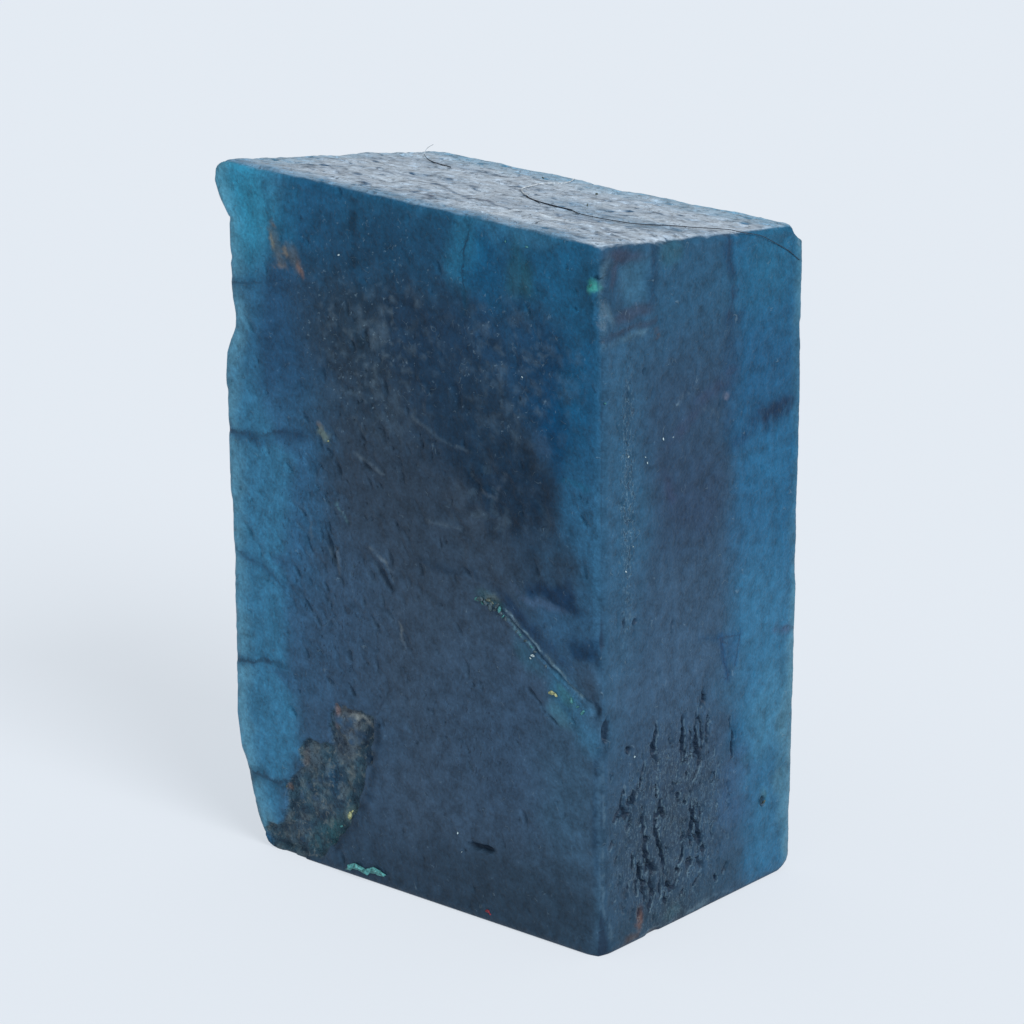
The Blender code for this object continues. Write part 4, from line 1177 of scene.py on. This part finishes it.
    def top(self):
        """The torn top: its pale grey and pale streaks are in part painted sheen, and the blue by its edges
        painted light through them.
        """
        gaps = self.gaps
        streaks = self.noise((2.6, 0.9, 2.0), 260, 3)
        spots = self.noise((0.40, 0.34, 1.0), 264)
        near_back = fall(gaps["back"] + 0.8 * self.mottle, 0.3, 4.6)
        near_left = fall(gaps["left"] + 0.8 * self.mottle, 0.2, 4.5)
        rim = fall(np.minimum(gaps["back"], gaps["left"]), 0.0, 1.3)
        inward = gaps["front"] + 0.3 * self.mottle
        right_part = rise(self.x, 10.5, 12.5)
        # painted sheen in the pale ground and pale streaks; painted light through the edges in the blues by
        # the back, left and front
        colour = lay(
            self.plain((163, 176, 189)),
            (rise(streaks + 0.4 * self.mottle, -0.1, 1.0) * 0.55, (128, 146, 164)),
            (rise(-streaks, 0.2, 0.9) * 0.35, (182, 194, 205)),
            (rise(spots + 0.2 * streaks, 0.35, 0.70) * 0.75, (66, 80, 98)),
            (np.maximum(near_back, 0.8 * near_left) * 0.65, (104, 150, 178)),
            (rim * 0.6, (80, 138, 164)),
            (fall(inward, 0.3, 2.4) * (1.0 - right_part) * 0.68, (94, 128, 154)),
            (fall(inward, 0.2, 1.3) * right_part * 0.5, (176, 192, 206)))
        return lay_bands(colour, self.top_place, TOP_BANDS)

    def left(self):
        """The broken left side; its blue and teal are partly its own colour and partly painted light that
        comes through it.
        """
        return lay(
            self.cloudy(BLUE, TEAL),
            (rise(self.mottle, -0.1, 0.5) * 0.6, (64, 124, 152)),
            (fall(self.z, 1.0, 6.0) * rise(self.mottle, -0.4, 0.2), MOSS),
            (rise(self.noise(2.2, 270, 3), 0.35, 0.6) * 0.45, RUST))

    def back(self):
        """The back, sawn as the broad face is."""
        gaps = self.gaps
        edge = np.minimum(np.minimum(gaps["right"], gaps["left"]), gaps["top"] * 1.2)
        return lay(
            self.cloudy(SLATE, SLATE_LOW),
            (rise(self.noise(7.0, 280, 3), 0.0, 0.5) * 0.8, NAVY),
            # painted light: blue and teal near the edges, where light comes through the thin rims
            (fall(edge + 1.8 * self.clouds + 0.6 * self.mottle, 1.2, 5.5), BLUE),
            (fall(edge + 1.2 * self.clouds + 0.5 * self.mottle, 0.6, 2.8) * 0.8, TEAL))

    def shares(self):
        """How far each point belongs to each side but the front, softly across the edges."""
        gaps = self.gaps
        front_or_right = np.minimum(gaps["front"], gaps["right"])
        beside_back = np.minimum(front_or_right, gaps["left"])
        upright = np.minimum(beside_back, gaps["back"])
        return {
            "right": rise(gaps["front"] - gaps["right"], -0.3, 0.3),
            "left": rise(front_or_right - gaps["left"], -0.3, 0.3),
            "back": rise(beside_back - gaps["back"], -0.3, 0.3),
            "top": rise(upright - gaps["top"] + 0.05 * self.fine, -0.10, 0.14),
        }

    def finish(self):
        """Give the mesh its colours and marks."""
        shares = self.shares()
        broken = rise(inside((self.x, self.z), CRUST) + 0.25, 0.0, 0.2)
        deep = rise(self.gaps["front"], 0.08, 0.16)
        broken *= deep * (1.0 - shares["right"]) * (1.0 - shares["back"])
        colour = lay(self.front(), (broken, self.crust()))
        colours = {"right": self.right(), "left": self.left(), "back": self.back(), "top": self.top()}
        # the colours are as seen, so each is divided by the light that its side gets
        light, sheen = (np.tile(part, (len(self.x), 1)) for part in SIDE_LIGHT["front"])
        for name, share in shares.items():
            colour = lay(colour, (share, colours[name]))
            light = lay(light, (share, np.array(SIDE_LIGHT[name][0])))
            sheen = lay(sheen, (share, SIDE_LIGHT[name][1]))
        self.write_colour(np.maximum(colour - sheen, DARKEST) / light)
        self.write_cracks(shares, broken)
        self.write_sunk(shares)
        self.write_mark("top", shares["top"])
        self.write_mark("crumble", self.crumble(shares, broken))
        self.write_mark("glints", self.glints(shares))
        self.write_mark("crust", broken)

    def crumble(self, shares, broken):
        """How torn the skin is from place to place."""
        low = self.on_right((-2.6, 5.8), (5.8, 7.2), 0, 0.5)
        column = self.on_right((-6.4, 25.0), (0.7, 8.0), 0, 0.5)
        slots = self.on_front((-6.0, 18.0), (4.0, 8.0), 20, 0.6)
        dashes = self.on_front((4.0, 10.5), (4.0, 3.0), -25, 0.6)
        pocked = self.on_front((7.0, 23.5), (4.0, 3.5), -30, 0.6)
        front = np.maximum(np.maximum(0.38 * slots, 0.45 * dashes), 0.22 * pocked)
        side = np.maximum(0.75 * low, 0.8 * column)
        share = front + (side - front) * shares["right"]
        share = share + (0.6 - share) * shares["left"]
        share = share + (0.4 - share) * shares["back"]
        return np.maximum(share * (1.0 - shares["top"]), 0.22 * broken)

    def glints(self, shares):
        """How thickly the painted glints of pale flecks and scratches lie from place to place."""
        upper = self.on_front((-2.5, 32.5), (5.0, 5.5), 10, 0.6)
        mid = self.on_front((7.0, 31.5), (4.0, 4.0), 0, 0.6)
        front = 0.18 + 0.82 * np.maximum(upper, 0.8 * mid)
        share = front + (0.08 - front) * shares["right"]
        return share * (1.0 - shares["top"]) + 0.3 * shares["top"]

    def write_cracks(self, shares, broken):
        """How many half widths each point lies from a crack, and how strong that crack is."""
        widths, strength = cracks(self.front_place, FRONT_CRACKS)
        side_widths, side_strength = cracks(self.right_place, RIGHT_CRACKS)
        on_right = shares["right"] > 0.5
        self.write_mark("crack", np.where(on_right, side_widths, widths))
        strength = np.where(on_right, side_strength, strength)
        for other in (shares["left"], shares["back"], shares["top"], broken):
            strength = strength * (1.0 - other)
        self.write_mark("crack_share", strength)

    def write_sunk(self, shares):
        """How deep each point of the sawn faces lies under their planes."""
        on_right = shares["right"] > 0.5
        sunk = np.clip(np.where(on_right, self.gaps["right"], self.gaps["front"]), 0.0, 1.0)
        for name in ("top", "left", "back"):
            sunk = sunk * (1.0 - shares[name])
        scoop = self.on_right((-6.6, 35.7), (3.2, 3.0), 0, 0.3)
        # weighted for the painted shade of the hollows: weaker on the broad face, none in the scoop
        self.write_mark("sunk", sunk * (0.55 + 0.65 * on_right) * (1.0 - scoop))

    def write_colour(self, colour):
        opaque = np.ones((len(colour), 1))
        paint = self.skin.mesh.color_attributes.new("paint", "FLOAT_COLOR", "POINT")
        paint.data.foreach_set("color", np.hstack((colour, opaque)).astype(np.float32).ravel())

    def write_mark(self, name, values):
        mark = self.skin.mesh.attributes.new(name, "FLOAT", "POINT")
        mark.data.foreach_set("value", values.astype(np.float32))


# ------------------------------------------------------------------------ stone's finish
BUMP = {"Strength": 0.8, "Distance": 0.00012}
GLOSS = {"Roughness": 0.42, "IOR": 1.58, "Specular IOR Level": 0.08}
TOP_COAT = 0.5
TOP_GLOSS = {"Coat Roughness": 0.34, "Coat IOR": 1.5}


def stone_finish():
    """Deep blue with a dull sawn skin; the light through its thin edges is painted into its colour."""
    m = Material("aquamarine")
    place = m.place()
    colour = m.attribute("paint", 0)
    crumble, glints, top, sunk, crust = (
        m.attribute(name) for name in ("crumble", "glints", "top", "sunk", "crust"))

    grain = m.noise(place, 0.17, 2.0, 0.6)
    mottle = m.noise(place, 0.75, 3.0, 0.6)
    upright = m.noise(m.stretch(place, (0.16, 0.16, 0.62), (0, 14, 0)), 1.0, 3.0, 0.6)
    across = m.noise(m.stretch(place, (0.75, 0.50, 0.5), (0, 0, 8)), 1.0, 3.0, 0.7)

    # uneven tone, more on the torn stretches
    tone = 1.0 + (grain - 0.5) * 0.8 + (mottle - 0.5) * 1.3
    tone = tone + (upright - 0.5) * (0.12 + crumble * 0.9) + (across - 0.5) * top * 1.0
    colour = m.scale(colour, tone.most(0.2))

    # torn slots finer than the mesh, with painted shade inside and a painted highlight on the rim
    torn = upright + (grain - 0.5) * 0.45
    limit = 0.74 - crumble * 0.20
    slot = (torn - limit).rise(0.0, 0.05) * crumble.rise(0.05, 0.3)
    slot_rim_highlight = (torn - limit).rise(-0.05, -0.02) * (1.0 - slot) * crumble.rise(0.3, 0.9)
    colour = m.tint(slot_rim_highlight * 0.22, colour, RIM_HIGHLIGHT)
    colour = m.tint(slot * 0.55, colour, SHADE_AND_CRACK_DARK)

    # painted highlights on the lips and painted shade in the bottoms of the pits; pale bits of the crust,
    # and painted shade in the hollows between its lumps
    lip_highlight = sunk.rise(0.02, 0.06) * sunk.rise(0.15, 0.09) * crumble * mottle.rise(0.42, 0.6)
    colour = m.tint(lip_highlight * 0.30, colour, RIM_HIGHLIGHT)
    bits = m.noise(place, 0.34, 2.0, 0.7)
    colour = m.tint(bits.rise(0.57, 0.68) * crust * 0.34, colour, (112, 116, 112))
    colour = m.tint(bits.rise(0.45, 0.36) * crust * 0.45, colour, SHADE_AND_CRACK_DARK)
    deep = sunk.rise(0.07, 0.24) * (1.0 - crust)
    colour = m.tint(deep * 0.72, colour, SHADE_AND_CRACK_DARK)

    # cracks: a broken dark core
    off = abs(m.attribute("crack") + (grain - 0.5) * 3.0 + (mottle - 0.5) * 2.4)
    open_share = m.attribute("crack_share") * mottle.rise(0.36, 0.60)
    colour = m.tint(off.rise(1.3, 0.2) * open_share, colour, SHADE_AND_CRACK_DARK)

    # painted glints: pale flecks and curled hairline scratches catching the light; painted shade in dark
    # pinholes
    stir = m.scale(m.noise(place, 0.11, 0.0, output=1), 0.28)
    shaken = m.add("VectorMath", {"operation": "ADD"}, {0: place, 1: stir})
    rows = m.stretch(shaken, (0.8, 0.8, 1.7), (0, 42, 0))
    glint = m.spots(rows, 2.3).rise(0.18, 0.06) * (mottle + glints * 0.5).rise(0.62, 0.85)
    curl = abs(m.noise(place, 0.8, 1.0, 0.5) - 0.5).rise(0.016, 0.003)
    curl = curl * (m.noise(place, 0.5, 0.0) + glints * 0.10).rise(0.68, 0.76)
    dots = m.spots(shaken, 2.2)
    hole = (dots - top * 0.12).rise(0.14, 0.06) * (crumble + 0.12 + top * 0.6).least(1.0)
    colour = m.tint(hole * 0.6, colour, SHADE_AND_CRACK_DARK)
    pale = (glint * 0.30).most(curl * 0.15)
    colour = m.tint(pale * (1.0 - top * 0.6), colour, (136, 164, 182))

    height = grain * 0.40 + mottle * 1.1 + bits * crust * 1.2 + upright * (0.08 + crumble * 0.7)
    height = height - slot * 0.5 - hole * 0.5 + curl * 0.3 + across * top * 1.4
    m.set({"Base Color": colour, **GLOSS, "Coat Weight": top * TOP_COAT, **TOP_GLOSS,
           "Normal": m.add("Bump", {}, {**BUMP, "Height": height})})
    return m.data


# -------------------------------------------------------------------------- dirt on it
HAIR_LIFT = 0.05
# Lint hairs on the top: radius at either end, then x, y along it.
HAIR_PALE = (0.032, 0.036, (-1.05, 7.1), (-0.3, 5.4), (-0.6, 3.9), (-0.25, 2.4), (0.2, 1.1), (1.1, 0.1),
    (2.0, -0.6))
HAIR_DARK = (0.034, 0.046, (1.9, -0.55), (2.6, -1.1), (3.6, -1.5), (4.8, -1.7), (6.1, -1.8))
HAIR_FINE = (0.026, 0.018, (6.1, -1.8), (7.2, -2.3), (9.2, -2.1), (10.4, -1.5), (11.4, 0.0), (12.0, 0.6),
    (12.7, 1.5), (13.2, 2.1), (13.45, 2.3))
HAIR_SHORT = (0.016, 0.034, (-10.3, 4.8), (-9.3, 3.9), (-8.05, 3.1), (-6.45, 2.75))
# The fine end that hangs down the narrow face: y, z, height over it.
HAIR_SIDE = (
    (2.7, 37.25, 0.08), (3.3, 37.1, 0.14), (4.0, 36.93, 0.18), (4.7, 36.72, 0.18), (5.8, 36.24, 0.08),
    (7.15, 35.6, 0.05), (8.2, 34.92, 0.05),
)
# A free tip that stands up: radius at either end, then x, y, height over the top.
HAIR_FREE = (0.018, 0.012, (-10.3, 4.8, 0.03), (-10.25, 4.85, 0.25), (-10.05, 4.9, 0.5), (-9.7, 4.95, 0.72))
# Crumbs by colour and side: their two places on it and their size.
CRUMBS = {
    "turquoise": ((62, 124, 128), {
        "front": (
            (5.4, 18.2, 0.26), (5.75, 18.05, 0.18), (6.95, 17.95, 0.26), (7.15, 17.6, 0.16),
            (8.35, 16.85, 0.14), (9.1, 16.35, 0.13), (11.85, 14.0, 0.2), (12.6, 13.5, 0.22),
            (12.25, 13.75, 0.15), (8.75, 37.5, 0.13), (7.32, 37.6, 0.09), (12.95, 36.1, 0.12),
            (-4.8, 2.8, 0.15)),
        "right": ((-8.3, 30.1, 0.1),)}),
    "yellow": ((148, 156, 118), {
        "front": (
            (10.5, 14.12, 0.26), (10.8, 14.05, 0.18), (-4.08, 3.65, 0.32), (-3.95, 3.9, 0.15),
            (-5.35, 25.0, 0.12))}),
    "pale": ((176, 198, 206), {
        "front": (
            (9.2, 15.88, 0.17), (9.05, 15.7, 0.1), (3.9, 4.62, 0.09), (4.18, 3.59, 0.07),
            (-4.37, 35.39, 0.11), (8.45, 30.7, 0.08)),
        "right": (
            (-3.53, 27.32, 0.09), (-6.42, 26.94, 0.09), (-2.7, 27.26, 0.06), (-5.02, 26.66, 0.06),
            (-4.85, 26.31, 0.08), (-5.8, 10.6, 0.09), (-6.0, 22.1, 0.08), (-6.6, 20.9, 0.1))}),
    "brown": ((80, 92, 86), {
        "front": ((6.15, 18.3, 0.22), (6.45, 18.2, 0.15), (-9.05, 4.15, 0.12)),
        "right": ((5.7, 4.75, 0.2),),
        "top": ((2.9, 4.2, 0.16), (-2.1, 5.6, 0.12), (5.2, 0.6, 0.1))}),
    "red": ((126, 40, 56), {
        "front": ((6.04, 0.65, 0.2), (6.22, 0.52, 0.12))}),
    "grey": ((64, 86, 98), {
        "front": (
            (5.6, 18.25, 0.3), (6.0, 18.1, 0.26), (6.35, 18.0, 0.34), (6.75, 18.1, 0.26),
            (6.6, 17.85, 0.2), (7.0, 17.8, 0.24), (7.35, 17.5, 0.16), (8.1, 16.98, 0.14),
            (8.7, 16.6, 0.18), (9.35, 16.15, 0.16), (10.1, 15.5, 0.13))}),
}
CRUMB_STRETCH = (1.5, 1.0, 0.75)
CRUMB_LUMPS = 0.35
CRUMB_TURN = 2.4            # from each crumb to the next
CRUMB_LIFT = 0.25           # of its size, from the face to its centre
# The turquoise flake on the lower front edge: x, z, half height, how far it stands out.
FLAKE = (
    (-4.5, 0.32, 0.05, 0.05), (-4.2, 0.5, 0.15, 0.22), (-3.9, 0.66, 0.2, 0.08), (-3.55, 0.72, 0.17, 0.26),
    (-3.2, 0.58, 0.15, 0.07), (-2.9, 0.56, 0.16, 0.24), (-2.55, 0.76, 0.2, 0.08),
    (-2.25, 0.86, 0.19, 0.24), (-1.95, 0.74, 0.17, 0.09), (-1.65, 0.76, 0.12, 0.16),
    (-1.5, 0.72, 0.04, 0.06),
)
FLAKE_THICKNESS = 0.05
FLAKE_CRUMPLE = 0.10


def place_on(side, first, second, lift=0.0):
    """A point on the plane of a side, in millimetres."""
    if side == "front":
        return np.array((first, FRONT_Y - lift, second))
    if side == "right":
        return np.array((right_reach(second) + lift, first, second))
    return np.array((first, second, top_height(first, second) + lift))


def smooth_line(points, steps=6):
    """A soft line that passes through the points."""
    points = np.array(points)
    spread = np.vstack((2 * points[0] - points[1], points, 2 * points[-1] - points[-2]))
    line = []
    for before, start, end, after in zip(spread, spread[1:], spread[2:], spread[3:]):
        for share in np.arange(steps) / steps:
            line.append(0.5 * (2 * start + (end - before) * share
                               + (2 * before - 5 * start + 4 * end - after) * share ** 2
                               + (3 * start - before - 3 * end + after) * share ** 3))
    return np.array([*line, points[-1]])


def dirt_finish(name, colour, roughness=0.6):
    """A plain, slightly uneven finish."""
    m = Material(name)
    grain = m.noise(m.place(), 0.12)
    dark = (*(look(colour) * 0.45), 1.0)
    m.set({"Base Color": m.tint(grain.rise(0.35, 0.65), dark, colour), "Roughness": roughness,
           "Specular IOR Level": 0.3})
    return m.data


def add_dirt(name, points, faces, finish):
    """A piece of dirt that rides on the stone."""
    mesh = bpy.data.meshes.new(name)
    mesh.from_pydata([tuple(point) for point in np.array(points) * MM], [], faces)
    shade_smooth(mesh)
    mesh.materials.append(finish)
    piece = put(name, mesh)
    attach(piece, ROOT)
    return piece


def make_hair(name, radii, route_points, finish, sides=6):
    """A lint hair as a fine round thread."""
    line = smooth_line(route_points)
    ahead = np.gradient(line, axis=0)
    ahead /= np.linalg.norm(ahead, axis=1)[:, None]
    first = np.cross(ahead, (0.35, 0.25, 0.90))
    first /= np.linalg.norm(first, axis=1)[:, None]
    second = np.cross(ahead, first)
    points = []
    for centre, across, up, radius in zip(line, first, second, np.linspace(*radii, len(line))):
        for turn in np.arange(sides) / sides * 2 * math.pi:
            points.append(centre + radius * (across * math.cos(turn) + up * math.sin(turn)))
    faces = [tuple(reversed(range(sides))), tuple(range(len(points) - sides, len(points)))]
    for low in range(0, (len(line) - 1) * sides, sides):
        for side in range(sides):
            beside = (side + 1) % sides
            faces.append((low + side, low + beside, low + sides + beside, low + sides + side))
    add_dirt(name, points, faces, finish)


def make_crumbs(colour_name, colour, by_side):
    """Lumpy crumbs of one colour."""
    ball = bmesh.new()
    bmesh.ops.create_icosphere(ball, subdivisions=2, radius=1.0)
    shape = np.array([vertex.co for vertex in ball.verts])
    corners = [[vertex.index for vertex in face.verts] for face in ball.faces]
    ball.free()
    points = []
    faces = []
    rows = [(side, *row) for side, group in by_side.items() for row in group]
    for number, (side, first, second, size) in enumerate(rows):
        centre = place_on(side, first, second, CRUMB_LIFT * size)
        lumps = 1.0 + CRUMB_LUMPS * waves((shape * 0.8 + 7.0 * number).T, 0.7, 300, 2)
        angle = CRUMB_TURN * number
        grown = shape * lumps[:, None] * CRUMB_STRETCH
        turned = np.column_stack((
            grown[:, 0] * math.cos(angle) - grown[:, 2] * math.sin(angle), grown[:, 1] * 0.8,
            grown[:, 0] * math.sin(angle) + grown[:, 2] * math.cos(angle)))
        faces += [tuple(corner + len(points) for corner in face) for face in corners]
        points += list(centre + turned * size * 0.5)
    add_dirt("crumbs_" + colour_name, points, faces, dirt_finish("crumb " + colour_name, colour))


def make_flake():
    """A crumpled scrap of turquoise skin on the lower edge of the broad face."""
    points = []
    for number, (x, z, half, out) in enumerate(FLAKE):
        tilt = FLAKE_CRUMPLE * (-1) ** number
        points += [(x + tilt, FRONT_Y - 0.6 * out, z + half), (x, FRONT_Y - out, z),
                   (x - tilt, FRONT_Y - 0.5 * out, z - half)]
    faces = []
    for column in range(len(FLAKE) - 1):
        for row in range(2):
            low = column * 3 + row
            faces.append((low, low + 1, low + 4, low + 3))
    flake = add_dirt("flake", points, faces, dirt_finish("flake", (78, 148, 150), 0.45))
    thick = flake.modifiers.new("thickness", "SOLIDIFY")
    thick.thickness = FLAKE_THICKNESS * MM
    apply_modifiers(flake)
    shade_smooth(flake.data, False)


def make_dirt():
    """Everything that has settled on the stone."""
    dark = dirt_finish("dark lint", (36, 46, 60))
    pale = dirt_finish("pale lint", (200, 210, 218))
    hairs = (("hair_pale", HAIR_PALE, (), pale), ("hair_dark", HAIR_DARK, (), dark),
             ("hair_short", HAIR_SHORT, (), dark), ("hair_fine", HAIR_FINE, HAIR_SIDE, dark))
    for name, (thick, thin, *over), down, finish in hairs:
        points = [place_on("top", x, y, HAIR_LIFT) for x, y in over]
        points += [place_on("right", y, z, lift) for y, z, lift in down]
        make_hair(name, (thick, thin), points, finish)
    thick, thin, *free = HAIR_FREE
    make_hair("hair_free", (thick, thin), [place_on("top", *point) for point in free], pale)
    for colour_name, (colour, by_side) in CRUMBS.items():
        make_crumbs(colour_name, colour, by_side)
    make_flake()


make_camera()
stone = make_stone()
stone.data.materials.clear()
stone.data.materials.append(stone_finish())
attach(stone, ROOT)
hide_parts(NODE)
make_dirt()
make_floor()
make_sky()
make_lamp()
bpy.context.scene.view_settings.view_transform = "Standard"
